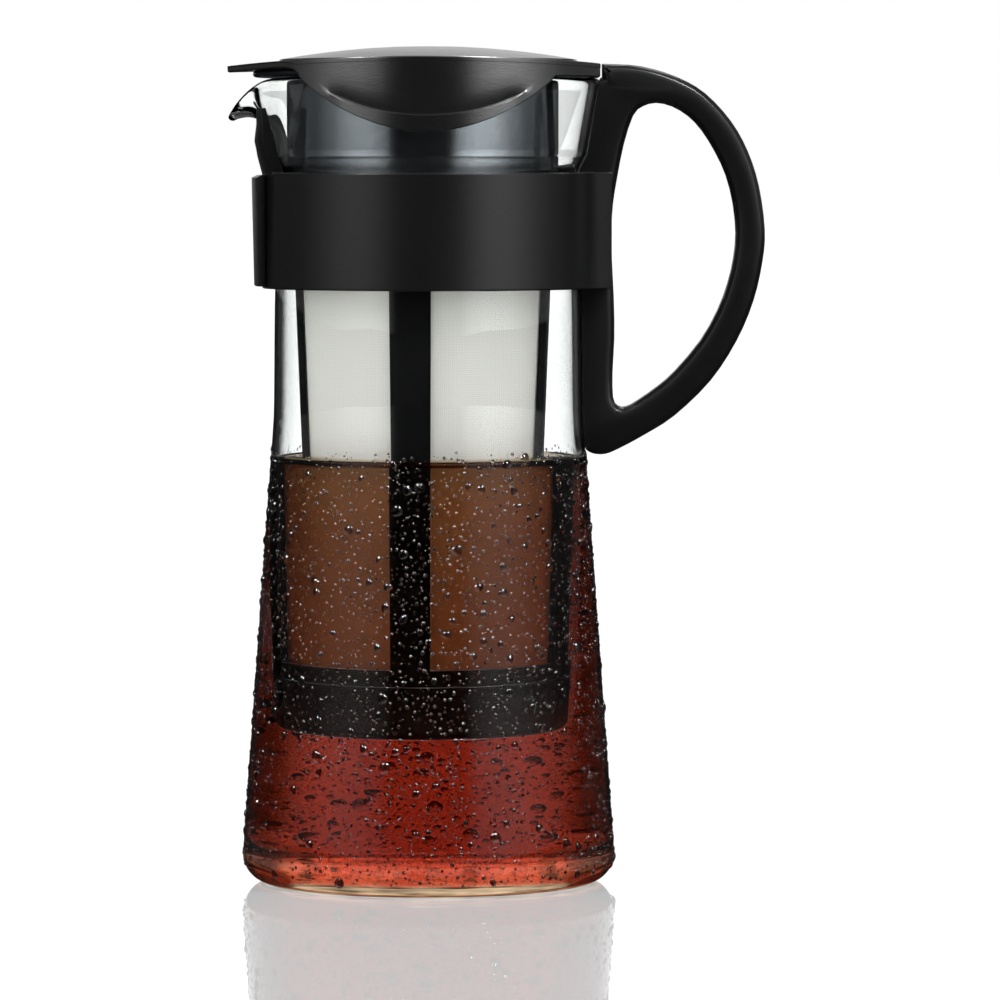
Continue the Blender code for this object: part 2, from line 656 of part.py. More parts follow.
# Basket cup: the closed bottom of the basket, a push-in moulding with a spigot inside the lower ring
cup_top = FRAME_FOOT - GAP
cup_out = basket_radius(FRAME_FOOT)
cup_low = cup_out - taper * (cup_top - CUP_FOOT)
spigot_out = cup_out - FRAME_WALL - GAP
cup_in = cup_low - FRAME_WALL
cup = lathe(
    "basket_cup",
    [
        (0.0, CUP_FOOT + FRAME_WALL),
        *arc((cup_in - CUP_CORNER / 2, CUP_FOOT + FRAME_WALL + CUP_CORNER / 2), CUP_CORNER / 2, -90.0, 0.0, 2),
        (spigot_out - FRAME_WALL, cup_top - SPIGOT),
        (spigot_out - FRAME_WALL, FRAME_FOOT + SPIGOT),
        (spigot_out, FRAME_FOOT + SPIGOT),
        (spigot_out, cup_top),
        (cup_out, cup_top),
        *arc((cup_low - CUP_CORNER, CUP_FOOT + CUP_CORNER), CUP_CORNER, 0.0, -90.0, 3),
        (0.0, CUP_FOOT),
    ],
    FRAME_STEPS,
)
cup.data.materials.append(BLACK)
cup.location.x = STRAINER_X

# Lid: a polypropylene cap with a domed top, a tongue over the beak, a skirt round the flange and a
# crescent apron at the front and the back to hold it by
LID_WALL = 0.0016
LID_RISE = 0.0030  # from the flange up to the front and back edges of the arched top
LID_ARCH = 0.0014  # how much lower the arch is at the handle end
TONGUE_REACH = 0.0073  # how far the tongue stands out past the plain rim
TONGUE_WALL = 0.0016
TONGUE_ROOT_HALF = 0.0300
TONGUE_TIP_HALF = 0.0055
APRON_DROP = 0.0139  # below the skirt's edge
APRON_HALF = 0.0318
DOME_INSET = 0.0077  # from the lid's edge to the dome's
DOME_RISE = 0.0031  # from the arched top's highest line to the middle of the dome
DOME_SAG = 0.0034
GRIP_RISE = 0.0008  # how far the raised crescent stands out
GRIP_BAND = 0.0036  # its height at the middle
PLUG_CLEAR = 0.0021  # from the ring under the lid to the inside of the collar
PLUG_DROP = 0.0040
LID_STEPS = 60

skirt_in = RIM_RADIUS + GAP
lid_radius = skirt_in + LID_WALL
lid_end = RIM_RADIUS
tongue_tip = RIM_RADIUS + TONGUE_REACH
dome_radius = lid_radius - DOME_INSET
plug_radius = collar_in - PLUG_CLEAR
skirt_low = RIM_HEIGHT + GAP
plate_low = flange_top + GAP
lid_top = flange_top + LID_RISE
side = math.degrees(math.acos(lid_end / lid_radius))
root = math.degrees(math.asin(TONGUE_ROOT_HALF / lid_radius))


def lid_plan(rim, end, tip, tip_half):
    """The lid's outline from above: a circle with a flat at the handle and a tongue over the beak."""
    flat = math.degrees(math.acos(end / rim))
    upper = [polar(rim, flat + (180 - root - flat) * i / 22) for i in range(23)]
    x_root, y_root = upper[-1]
    x_near = x_root - (tip + x_root) * 0.52
    nose = curve_path([(x_root, y_root), (x_near, y_root * 0.62), (-tip + tip_half * 0.25, tip_half)], 4)
    nose += [(-tip, tip_half * 0.45)]
    half = [*upper, *nose[1:]]
    return half + [(x, -y) for x, y in reversed(half)]


def arch(x):
    """Height of the arched top above a place along the lid."""
    return lid_top - LID_ARCH * (x / lid_end) ** 2


def apron_edge(drop, half, steps):
    """The crescent's lower edge as (x, z) points, from the spout side to the handle side."""
    points = []
    for i in range(steps + 1):
        u = -1 + 2 * i / steps
        points.append((half * u, skirt_low - drop * math.cos(u * math.pi / 2) ** 0.8))
    return points


beak_side = lid_radius * math.cos(math.radians(root))
under = [(-tongue_tip - CUT, arch(tongue_tip) - TONGUE_WALL), (-beak_side, plate_low)]
under += apron_edge(APRON_DROP, APRON_HALF, 20)
under += [(lid_end + CUT, skirt_low)]
over = [(lid_end + CUT, arch(lid_end))]
over += [(lid_end - (lid_end + tongue_tip) * i / 12, arch(lid_end - (lid_end + tongue_tip) * i / 12)) for i in range(13)]
over += [(-tongue_tip - CUT, arch(tongue_tip))]
lid_side = plate("lid_side", [under + over], -lid_radius - CUT, lid_radius + CUT, "XZ")
plan = lid_plan(lid_radius, lid_end, tongue_tip, TONGUE_TIP_HALF)
lid = plate("lid", [plan], skirt_low - APRON_DROP - CUT, lid_top + CUT, home=parts)
combine(lid, lid_side, "INTERSECT")

grip_shell = lathe(
    "grip_shell",
    [
        (lid_radius + GRIP_RISE, skirt_low),
        (lid_radius + GRIP_RISE, skirt_low - APRON_DROP - CUT),
        (skirt_in - LID_WALL, skirt_low - APRON_DROP - CUT),
        (skirt_in - LID_WALL, skirt_low),
    ],
    LID_STEPS,
    cutters,
)
grip_shell = settle(grip_shell)
grip_low = apron_edge(APRON_DROP, APRON_HALF * 0.92, 16)
grip_high = apron_edge(APRON_DROP - GRIP_BAND, APRON_HALF * 0.86, 16)
grip = plate("grip_ridge", [grip_low[1:-1] + list(reversed(grip_high[2:-2]))], -lid_radius * 2, lid_radius * 2, "XZ")
combine(grip, grip_shell, "INTERSECT")
grip = settle(grip)
combine(lid, grip, "UNION")

dome_edge = lid_top + DOME_RISE - DOME_SAG
dome_profile = [(0.0, lid_top + DOME_RISE)]
for i in range(1, 8):
    r = dome_radius * i / 7
    dome_profile.append((r, lid_top + DOME_RISE - DOME_SAG * (r / dome_radius) ** 2))
dome_profile += [(dome_radius, plate_low + LID_WALL / 2), (0.0, plate_low + LID_WALL / 2)]
combine(lid, settle(lathe("dome", dome_profile, LID_STEPS, cutters)), "UNION")

hollow_end = lid_end - LID_WALL
hollow_flat = math.degrees(math.acos(hollow_end / skirt_in))
hollow_plan = [polar(skirt_in, hollow_flat + (360 - 2 * hollow_flat) * i / LID_STEPS) for i in range(LID_STEPS + 1)]
hollow = plate("lid_hollow", [hollow_plan], skirt_low - APRON_DROP - CUT * 2, plate_low)
combine(lid, hollow, "DIFFERENCE")
seat_plan = [(x + STRAINER_X, y) for x, y in arc((0.0, 0.0), flange_radius + GAP, 0.0, 360.0, LID_STEPS)[:-1]]
seat = plate("flange_seat", [seat_plan], flange_low - CUT, plate_low + GAP)
combine(lid, seat, "DIFFERENCE")
plug_in = plug_radius - LID_WALL
under_dome = [(0.0, lid_top + DOME_RISE - LID_WALL)]
for i in range(1, 4):
    r = plug_in * i / 3
    under_dome.append((r, lid_top + DOME_RISE - LID_WALL - DOME_SAG * (r / dome_radius) ** 2))
under_dome += [(plug_in, plate_low - CUT), (0.0, plate_low - CUT)]
combine(lid, settle(lathe("under_dome", under_dome, LID_STEPS, cutters)), "DIFFERENCE")
plug = lathe(
    "plug_ring",
    [
        (plug_radius, plate_low + LID_WALL / 3),
        (plug_radius, plate_low - PLUG_DROP),
        (plug_in - GAP, plate_low - PLUG_DROP),
        (plug_in - GAP, plate_low + LID_WALL / 3),
    ],
    LID_STEPS,
    cutters,
)
combine(lid, settle(plug), "UNION")
lid.data.materials.append(finish("lid_polypropylene", "191a1c", 0.4))
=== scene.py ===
import math
import random

import bmesh
import bpy
import numpy as np
from mathutils import Matrix, Vector


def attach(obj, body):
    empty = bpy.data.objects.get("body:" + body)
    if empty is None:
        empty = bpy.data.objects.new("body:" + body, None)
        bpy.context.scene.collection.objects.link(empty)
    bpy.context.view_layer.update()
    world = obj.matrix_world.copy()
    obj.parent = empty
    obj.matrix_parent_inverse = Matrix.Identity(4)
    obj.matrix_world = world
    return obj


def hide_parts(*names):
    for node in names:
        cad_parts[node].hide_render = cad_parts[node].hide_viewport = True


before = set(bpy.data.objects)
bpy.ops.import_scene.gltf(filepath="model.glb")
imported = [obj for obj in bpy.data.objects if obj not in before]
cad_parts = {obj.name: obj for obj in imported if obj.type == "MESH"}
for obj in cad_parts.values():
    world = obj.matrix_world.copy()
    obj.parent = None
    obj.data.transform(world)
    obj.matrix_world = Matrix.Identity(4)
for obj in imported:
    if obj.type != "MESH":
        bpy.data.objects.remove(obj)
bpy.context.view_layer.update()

# The table. The pot stands on a glossy white acrylic sheet, in front of a white background. The sheet is poured
# and polished, so it mirrors the pot sharply and faintly, and it glows softly from the light that it passes on.
EYE_HEIGHT = 0.1813
EYE_DISTANCE = 1.65
AIM_X = 0.0181
AIM_HEIGHT = 0.0966
LENS_MM = 235.0
SENSOR_MM = 36.0
FLOOR_HALF = 20.0
SHEET_DEPTH = 0.00006
FILM_DEPTH = 0.00002
GLOW_NEAR, GLOW_FAR = 0.36, 0.42
GLOW_SPAN = (0.3, 3.0)  # how far from the pot the glow starts to rise, and where it ends
LIT_RADIUS = 0.15  # what light inside the glass still sees of the sheet
LIT_FADE = 1.3


def hex_colour(text):
    """An sRGB hex colour as a linear one."""
    channels = [int(text[i : i + 2], 16) / 255 for i in (0, 2, 4)]
    return [c / 12.92 if c <= 0.04045 else ((c + 0.055) / 1.055) ** 2.4 for c in channels] + [1.0]


def add_node(tree, kind, values=None, links=None, **settings):
    """Adds a node, sets its properties and input values, and links its inputs from other nodes' outputs."""
    made = tree.nodes.new(kind)
    for name, value in settings.items():
        setattr(made, name, value)
    for name, value in (values or {}).items():
        made.inputs[name].default_value = value
    for name, output in (links or {}).items():
        tree.links.new(output, made.inputs[name])
    return made


def ramp(tree, value, start, end, low=0.0, high=1.0, smooth=True):
    """Maps a value that runs from start to end to one that runs from low to high."""
    made = add_node(
        tree, "ShaderNodeMapRange", {"From Min": start, "From Max": end, "To Min": low, "To Max": high},
        {"Value": value}, interpolation_type="SMOOTHSTEP" if smooth else "LINEAR",
    )
    return made.outputs[0]


def mixed(tree, share, first, second, kind="FLOAT"):
    """A number or a colour between two, each a plain value or another node's output."""
    made = add_node(tree, "ShaderNodeMix", links={0: share}, data_type=kind)
    entry = 6 if kind == "RGBA" else 2
    for socket, value in ((entry, first), (entry + 1, second)):
        if isinstance(value, bpy.types.NodeSocket):
            tree.links.new(value, made.inputs[socket])
        else:
            made.inputs[socket].default_value = value
    return made.outputs[2 if kind == "RGBA" else 0]


def product(tree, first, second):
    """Two outputs multiplied."""
    return add_node(tree, "ShaderNodeMath", None, {0: first, 1: second}, operation="MULTIPLY").outputs[0]


def ever(tree, depth):
    """1 where a ray has had any of these bounces, and 0 where it has had none."""
    return add_node(tree, "ShaderNodeMath", {1: 1.0}, {0: depth}, operation="MINIMUM").outputs[0]


def new_material(name):
    """An empty node material with its output."""
    material = bpy.data.materials.new(name)
    material.use_nodes = True
    material.node_tree.nodes.clear()
    return material, material.node_tree, material.node_tree.nodes.new("ShaderNodeOutputMaterial")


def new_piece(name, shape, *materials):
    """Puts a finished mesh in the scene as one object at the origin."""
    mesh = bpy.data.meshes.new(name)
    shape.to_mesh(mesh)
    shape.free()
    for material in materials:
        mesh.materials.append(material)
    made = bpy.data.objects.new(name, mesh)
    bpy.context.scene.collection.objects.link(made)
    return made


def level_sheet(name, depth, material):
    """A wide sheet of the table, just below the pot's foot."""
    shape = bmesh.new()
    bmesh.ops.create_grid(shape, x_segments=1, y_segments=1, size=FLOOR_HALF)
    bmesh.ops.translate(shape, verts=shape.verts, vec=(0, 0, -depth))
    new_piece(name, shape, material)


eye = bpy.data.objects.new("camera", bpy.data.cameras.new("camera"))
eye.data.lens = LENS_MM
eye.data.sensor_width = SENSOR_MM
eye.location = (AIM_X, -EYE_DISTANCE, EYE_HEIGHT)
aim = Vector((AIM_X, 0.0, AIM_HEIGHT)) - eye.location
eye.rotation_euler = aim.to_track_quat("-Z", "Y").to_euler()
bpy.context.scene.collection.objects.link(eye)
bpy.context.scene.camera = eye
bpy.context.scene.view_settings.view_transform = "Standard"

# White acrylic: an even white to the eye, with the pot's faint mirror image in it
paper, tree, out = new_material("glossy_white_acrylic")
at = add_node(tree, "ShaderNodeTexCoord")
reach = add_node(tree, "ShaderNodeVectorMath", None, {0: at.outputs["Object"]}, operation="LENGTH")
far = ramp(tree, reach.outputs["Value"], *GLOW_SPAN, GLOW_NEAR, GLOW_FAR, smooth=False)
glow = add_node(tree, "ShaderNodeEmission", None, {"Strength": far})
sheet = add_node(tree, "ShaderNodeBsdfDiffuse", {"Color": hex_colour("6a6a6a")})
mirror = add_node(tree, "ShaderNodeBsdfGlossy", {"Color": hex_colour("cdcdcd"), "Roughness": 0.02})
lit = add_node(tree, "ShaderNodeAddShader", links={0: glow.outputs[0], 1: sheet.outputs[0]})
bright = add_node(tree, "ShaderNodeAddShader", links={0: lit.outputs[0], 1: mirror.outputs[0]})
# What mirrors the sheet sees it dark, as flags laid round the pot would leave it, but not inside the glass
path = add_node(tree, "ShaderNodeLightPath")
near = ramp(tree, reach.outputs["Value"], LIT_RADIUS, LIT_RADIUS * LIT_FADE, 1.0, 0.0)
kept = product(tree, ever(tree, path.outputs["Transmission Depth"]), near)
flagged = add_node(tree, "ShaderNodeMath", {0: 1.0}, {1: kept}, operation="SUBTRACT")
hidden = product(tree, ever(tree, path.outputs["Glossy Depth"]), flagged.outputs[0])
dark = add_node(tree, "ShaderNodeBsdfDiffuse", {"Color": hex_colour("1c1c1c")})
whole = add_node(tree, "ShaderNodeMixShader", None, {0: hidden, 1: bright.outputs[0], 2: dark.outputs[0]})
tree.links.new(whole.outputs[0], out.inputs["Surface"])
level_sheet("table_sheet", SHEET_DEPTH, paper)

# A clear film just above the sheet, which the eye doesn't see. What the sheet mirrors has passed the film, and
# the surroundings below tell it by that.
film_stuff, tree, out = new_material("clear_film")
tree.links.new(add_node(tree, "ShaderNodeBsdfTransparent").outputs[0], out.inputs["Surface"])
level_sheet("table_film", FILM_DEPTH, film_stuff)

# The surroundings. The background is white, also through glass and in the sheet. Reflections on the pot see two
# wide panels beside the camera, which draw the soft upright highlights on the black plastic, with the dark
# studio between and behind them, and the lit wall straight behind.
GENERAL_LIGHT = 0.45
INNER_LIGHT = 3.2  # on what stands inside the glass, which shades it from some of the studio
GLASS_GLOSS = 0.42  # the panels as glass and water mirror them
INNER_GLOSS = 3.0  # the panels as pieces inside the glass mirror them
LEFT_PANEL, RIGHT_PANEL = 0.78, 1.25
PANEL_SIDE = 0.6  # how far to each side a reflection looks where the panel has its own brightness
OVERHEAD_SPAN, OVERHEAD = (0.45, 0.85), 0.15  # the panels end below the ceiling, which is dimmer
WALL_SPAN = (0.90, 0.97)  # how far back a reflection looks where the wall comes in
WALL_TURNS = (6.0, 10.0)  # how often light has gone through a surface there
WALL_GLOSS, FLOOR_GLOSS = 0.1, 4.8  # the wall after few turns, and as the pot's glass floor mirrors it
PANELS = (  # how far back a reflection looks, from 0 in front to 1 behind, and what it sees there
    (0.000, 0.00), (0.045, 0.00), (0.075, 0.45), (0.150, 0.80), (0.260, 0.72), (0.400, 0.30),
    (0.560, 0.10), (0.955, 0.08), (0.975, 1.00),
)

world = bpy.data.worlds.new("studio")
bpy.context.scene.world = world
world.use_nodes = True
world.cycles.sampling_method = "NONE"  # it has no small bright spots, and each kind of ray sees its own part
tree = world.node_tree
tree.nodes.clear()
path = add_node(tree, "ShaderNodeLightPath")
way = add_node(tree, "ShaderNodeTexCoord")
split = add_node(tree, "ShaderNodeSeparateXYZ", links={0: way.outputs["Generated"]})
back = ramp(tree, split.outputs["Y"], -1.0, 1.0, smooth=False)
panels = add_node(tree, "ShaderNodeValToRGB", None, {0: back})
stops = panels.color_ramp.elements
while len(stops) < len(PANELS):
    stops.new(0.5)
for stop, (position, level) in zip(stops, PANELS):
    stop.position = position
    stop.color = (level, level, level, 1.0)
side = ramp(tree, split.outputs["X"], -PANEL_SIDE, PANEL_SIDE, LEFT_PANEL, RIGHT_PANEL)
mirrored = product(tree, panels.outputs[0], side)
mirrored = product(tree, mirrored, ramp(tree, split.outputs["Z"], *OVERHEAD_SPAN, 1.0, OVERHEAD))
covered = ever(tree, path.outputs["Transmission Depth"])
sharp = mixed(tree, path.outputs["Is Singular Ray"], 1.0, GLASS_GLOSS)
mirrored = product(tree, mirrored, mixed(tree, covered, sharp, INNER_GLOSS))
# The pot's thick floor mirrors the wall behind, which light reaches there after many turns
behind = product(tree, ramp(tree, back, *WALL_SPAN), covered)
wall = ramp(tree, path.outputs["Transmission Depth"], *WALL_TURNS, WALL_GLOSS, FLOOR_GLOSS, smooth=False)
mirrored = mixed(tree, behind, mirrored, wall)
# What the sheet mirrors is white, and so is all that is seen straight or through glass
mirrored = mixed(tree, ever(tree, path.outputs["Transparent Depth"]), mirrored, 1.0)
seen = mixed(tree, ever(tree, path.outputs["Glossy Depth"]), 1.0, mirrored)
spread = mixed(tree, covered, GENERAL_LIGHT, INNER_LIGHT)
seen = mixed(tree, ever(tree, path.outputs["Diffuse Depth"]), seen, spread)
sky = add_node(tree, "ShaderNodeBackground", {"Color": hex_colour("ffffff")}, {"Strength": seen})
add_node(tree, "ShaderNodeOutputWorld", None, {"Surface": sky.outputs[0]})

# The lamps. Softboxes hang high round the pot, where the upright glass doesn't mirror them.
LAMP_AIM = 0.12


def softbox(name, azimuth, elevation, distance, width, height, watts):
    """A rectangular lamp that faces the pot. Azimuth is in degrees from the camera's side, to the right."""
    lamp = bpy.data.lights.new(name, "AREA")
    lamp.shape = "RECTANGLE"
    lamp.size, lamp.size_y = width, height
    lamp.energy = watts
    made = bpy.data.objects.new(name, lamp)
    turn, rise = math.radians(azimuth - 90), math.radians(elevation)
    place = Vector((math.cos(turn) * math.cos(rise), math.sin(turn) * math.cos(rise), math.sin(rise))) * distance
    made.location = place + Vector((0.0, 0.0, LAMP_AIM))
    made.rotation_euler = (-place).to_track_quat("-Z", "Y").to_euler()
    made.visible_transmission = False
    bpy.context.scene.collection.objects.link(made)
    return made


softbox("softbox_left", azimuth=-55, elevation=50, distance=1.3, width=0.20, height=0.36, watts=5.0)
softbox("softbox_right", azimuth=48, elevation=54, distance=1.3, width=0.30, height=0.36, watts=9.0)
softbox("softbox_back", azimuth=165, elevation=50, distance=1.4, width=0.45, height=0.45, watts=1.5)

# The bowl: blown borosilicate, one wall all round. The cone stands on a rounded foot with a thick floor, the
# neck is drawn in for the strap, and the flared cup above it has a beak pulled out of its rim.
WALL = 0.0018
FLOOR_THICK = 0.0035
FOOT_CORNER = 0.0070
RIM_RADIUS = 0.0433
BODY_RADIUS = 0.0471
SHOULDER = (0.0398, 0.1080)
STRAP_LOW, STRAP_HIGH = 0.1502, 0.1794
WAIST_RADIUS = 0.0387
NECK_RADIUS = 0.0379
NECK_LEAD = 0.0035
CUP_ROOT = (0.0400, 0.1839)
BEAK_REACH = 0.0080
BEAK_DROP = 0.0100
BEAK_ANGLE = 12.5
BEAK_GATHER = 0.35  # how strongly the mesh's columns draw together at the beak
BEAK_FALL = 0.62  # how far down the rim's shoulders follow the beak
THROAT_RISE = 0.0138
RIM_HEIGHT = 0.2030
WET_LEVEL = 0.1078
BOWL_STEPS = 224
SPAN_STEPS, FOOT_STEPS, FLOOR_STEPS, FLARE_STEPS, LIP_STEPS = 5, 14, 10, 16, 8
FLARE_END = 0.9  # the straight part of the flare, before the rounded lip
SAME_SPOT = 1e-7
UPWARD = 0.5  # the least upward part of a normal where the floor faces up
FOOT_GLASS = 0.8  # how far up the foot's corner its own glass reaches


def smooth_line(points, per_span):
    """Points of a smooth curve through the given (u, v) points."""
    count = len(points)
    line = []
    for i in range(count - 1):
        a, b, c, d = (Vector(points[min(max(i + k, 0), count - 1)]) for k in (-1, 0, 1, 2))
        for step in range(per_span):
            t = step / per_span
            bend, twist = 2 * a - 5 * b + 4 * c - d, 3 * b - a - 3 * c + d
            line.append(0.5 * (2 * b + (c - a) * t + bend * t * t + twist * t**3))
    line.append(Vector(points[-1]))
    return [(p.x, p.y) for p in line]


def arc(centre, radius, start, end, steps):
    """Points on an arc, angles in degrees."""
    angles = [math.radians(start + (end - start) * i / steps) for i in range(steps + 1)]
    return [(centre[0] + radius * math.cos(a), centre[1] + radius * math.sin(a)) for a in angles]


def turned(profile, steps):
    """A solid turned about the upright axis, from (radius, height) points that start and end on it."""
    shape = bmesh.new()
    points = [shape.verts.new((r, 0.0, z)) for r, z in profile]
    edges = [shape.edges.new(pair) for pair in zip(points, points[1:])]
    bmesh.ops.spin(
        shape, geom=points + edges, cent=(0, 0, 0), axis=(0, 0, 1), angle=math.tau, steps=steps, use_merge=True
    )
    bmesh.ops.remove_doubles(shape, verts=shape.verts, dist=SAME_SPOT)
    bmesh.ops.recalc_face_normals(shape, faces=shape.faces)
    for face in shape.faces:
        face.smooth = True
    return shape


def mark_sharp(shape, degrees):
    """Keeps the edges sharp where a shape turns by more than this angle."""
    for edge in shape.edges:
        if len(edge.link_faces) == 2:
            edge.smooth = edge.calc_face_angle(0.0) < math.radians(degrees)


def bowl_outside():
    """The bowl's outer side from below the cup to the foot, as (radius, height), top to bottom."""
    root_rise = CUP_ROOT[1] - STRAP_HIGH
    spread = CUP_ROOT[0] - NECK_RADIUS
    neck = [
        CUP_ROOT,
        (NECK_RADIUS + spread * 0.70, CUP_ROOT[1] - root_rise * 0.25),
        (NECK_RADIUS + spread * 0.12, STRAP_HIGH + root_rise * 0.20),
        (NECK_RADIUS, STRAP_HIGH - root_rise * 0.15),
        (NECK_RADIUS, STRAP_HIGH - root_rise),
    ]
    straight = SHOULDER[1] + (STRAP_LOW - SHOULDER[1]) / 3
    swell = SHOULDER[0] - WAIST_RADIUS
    slope = math.atan2(BODY_RADIUS - SHOULDER[0], SHOULDER[1] - FOOT_CORNER)
    body = [
        (NECK_RADIUS, STRAP_LOW + NECK_LEAD * 2),
        (NECK_RADIUS, STRAP_LOW + NECK_LEAD),
        (WAIST_RADIUS, STRAP_LOW),
        (WAIST_RADIUS + swell * 0.30, straight),
        (WAIST_RADIUS + swell * 0.55, (straight + SHOULDER[1]) / 2),
        SHOULDER,
        (SHOULDER[0] + math.tan(slope) * 0.020, SHOULDER[1] - 0.020),
        (SHOULDER[0] + math.tan(slope) * 0.060, SHOULDER[1] - 0.060),
        (BODY_RADIUS, FOOT_CORNER),
    ]
    centre = (BODY_RADIUS - FOOT_CORNER / math.cos(slope), FOOT_CORNER)
    foot = arc(centre, FOOT_CORNER, math.degrees(slope), -90.0, FOOT_STEPS)
    return smooth_line(neck, SPAN_STEPS)[1:] + smooth_line(body, SPAN_STEPS)[:-1] + foot


OUTSIDE = bowl_outside()
FOOT_COUNT = FOOT_STEPS + 1


def bowl_radius(height):
    """The bowl's outer radius at a height below the cup."""
    for (r_high, z_high), (r_low, z_low) in zip(OUTSIDE, OUTSIDE[1:]):
        if z_low <= height <= z_high:
            return r_low + (r_high - r_low) * (height - z_low) / max(z_high - z_low, 1e-9)
    return OUTSIDE[-1][0]


def inner_side():
    """The inner side from the axis up to the cup's root, as (radius, height)."""
    deep = FOOT_CORNER - WALL
    low = OUTSIDE[-FOOT_COUNT][0] - WALL
    floor_bend = arc((low - deep, FLOOR_THICK + deep), deep, -90.0, 0.0, FLOOR_STEPS)
    wall = [(r - WALL, z) for r, z in reversed(OUTSIDE[:-FOOT_COUNT]) if z > floor_bend[-1][1]]
    return [(0.0, FLOOR_THICK), (low * 0.5, FLOOR_THICK), *floor_bend, *wall]


def bowl_profile():
    """The wall's closed section, up the inner side, over the lip and down the outer side."""
    mid_root, mid_rim = CUP_ROOT[0] - WALL / 2, RIM_RADIUS - WALL / 2
    shares = [i / FLARE_STEPS * FLARE_END for i in range(FLARE_STEPS + 1)]
    rise = RIM_HEIGHT - CUP_ROOT[1]
    inside = [(mid_root + (mid_rim - mid_root) * s - WALL / 2, CUP_ROOT[1] + rise * s) for s in shares]
    lip = arc((mid_rim, RIM_HEIGHT - WALL / 2), WALL / 2, 180.0, 0.0, LIP_STEPS)
    outside = [(r + WALL, z) for r, z in reversed(inside)]
    return inner_side() + inside + lip + outside + OUTSIDE + [(OUTSIDE[-1][0] * 0.5, 0.0), (0.0, 0.0)]


def pull_beak(point):
    """Moves a point of the turned bowl to where it goes when the beak is pulled out of the hot rim."""
    radius = math.hypot(point.x, point.y)
    if radius < WALL:
        return
    turn = math.atan2(point.y, -point.x)
    turn -= BEAK_GATHER * math.sin(turn)
    if point.z > CUP_ROOT[1]:
        flare = RIM_HEIGHT - CUP_ROOT[1]
        mid_root, mid_rim = CUP_ROOT[0] - WALL / 2, RIM_RADIUS - WALL / 2
        rise = min((point.z - CUP_ROOT[1]) / flare, 1.0)
        off = radius - (mid_root + (mid_rim - mid_root) * rise)
        weight = math.exp(-((math.degrees(turn) / BEAK_ANGLE) ** 2))
        start = Vector((mid_root, CUP_ROOT[1]))
        throat = Vector((mid_root, CUP_ROOT[1] + THROAT_RISE))
        tip = Vector((mid_rim + BEAK_REACH, RIM_HEIGHT - BEAK_DROP))
        line = start * (1 - rise) ** 2 + throat * 2 * rise * (1 - rise) + tip * rise * rise
        along = ((throat - start) * (1 - rise) + (tip - throat) * rise).normalized()
        pulled = line + Vector((along.y, -along.x)) * off
        down = weight * (BEAK_FALL + (1 - BEAK_FALL) * weight * weight)
        radius = radius * (1 - weight) + pulled.x * weight
        point.z = point.z * (1 - down) + pulled.y * down
    point.x = -radius * math.cos(turn)
    point.y = radius * math.sin(turn)


def painted_rim_shade(tree, span, middle, rim):
    """Painted shade for clear stuff: a colour that goes from one to another where it is seen along its surface, so
    that its edges darken as the dark studio would darken them.
    """
    facing = add_node(tree, "ShaderNodeLayerWeight")
    share = ramp(tree, facing.outputs["Facing"], *span)
    return mixed(tree, share, hex_colour(middle), hex_colour(rim), kind="RGBA")


def glass_material(name, ior, wavy, rim, clear="fbfdfc"):
    """Borosilicate glass, clear with slow waves from blowing: crisp edges and a faint unevenness, and painted
    shade in the rim colour where it is seen along its surface.
    """
    material, tree, out = new_material(name)
    at = add_node(tree, "ShaderNodeTexCoord")
    waves = add_node(tree, "ShaderNodeTexNoise", {"Scale": 60.0, "Detail": 1.0}, {"Vector": at.outputs["Object"]})
    bump = add_node(
        tree, "ShaderNodeBump", {"Strength": wavy, "Distance": 0.0004}, {"Height": waves.outputs["Fac"]}
    )
    # painted shade: the glass turns to the rim colour where the eye looks along it
    edge = painted_rim_shade(tree, (0.70, 0.88), clear, rim)
    shader = add_node(
        tree, "ShaderNodeBsdfPrincipled", {"Roughness": 0.0, "IOR": ior, "Transmission Weight": 1.0},
        {"Base Color": edge, "Normal": bump.outputs[0]},
    )
    tree.links.new(shader.outputs[0], out.inputs["Surface"])
    return material


# Where coffee wets the inner side, light passes from glass straight into water
GLASS_IOR, WATER_IOR = 1.474, 1.336
# The dry glass takes dark grey painted shade at its edges, for the dark studio that they show
clear_glass = glass_material("borosilicate_glass", GLASS_IOR, wavy=0.05, rim="5c605e")
wet_glass = glass_material("borosilicate_glass_wet_inside", GLASS_IOR / WATER_IOR, wavy=0.1, rim="fbfdfc")
# The foot's glass is coloured amber all over: painted light, in the warm colour of its glow
foot_glass = glass_material("borosilicate_glass_foot", GLASS_IOR, wavy=0.25, rim="ffdcb8", clear="ffdcb8")
# Painted light: the thick floor glows in amber streaks along its lower edge, standing in for the light that it
# gathers and lets out there
STREAK_SCALE = (90.0, 90.0, 3500.0)
STREAK_DIM, STREAK_BRIGHT = 0.05, 0.60
LIT_SPAN = (0.0015, 0.0005)  # the heights where the streaks come in
PALE_SPAN = (0.0010, 0.0002)  # the heights where amber turns pale
tree = foot_glass.node_tree
at = add_node(tree, "ShaderNodeTexCoord")
split = add_node(tree, "ShaderNodeSeparateXYZ", links={0: at.outputs["Object"]})
drawn = add_node(tree, "ShaderNodeVectorMath", {1: STREAK_SCALE}, {0: at.outputs["Object"]}, operation="MULTIPLY")
streaks = add_node(tree, "ShaderNodeTexNoise", {"Scale": 1.0, "Detail": 2.0}, {"Vector": drawn.outputs[0]})
bright = ramp(tree, streaks.outputs["Fac"], 0.38, 0.68, STREAK_DIM, STREAK_BRIGHT, smooth=False)
painted_glow = product(tree, ramp(tree, split.outputs["Z"], *LIT_SPAN), bright)
base = ramp(tree, split.outputs["Z"], *PALE_SPAN, smooth=False)
shader = tree.nodes["Principled BSDF"]
amber = mixed(tree, base, hex_colour("e08a3c"), hex_colour("d8c8b0"), kind="RGBA")
# painted light: the emission draws the glowing streaks
tree.links.new(amber, shader.inputs["Emission Color"])
tree.links.new(painted_glow, shader.inputs["Emission Strength"])

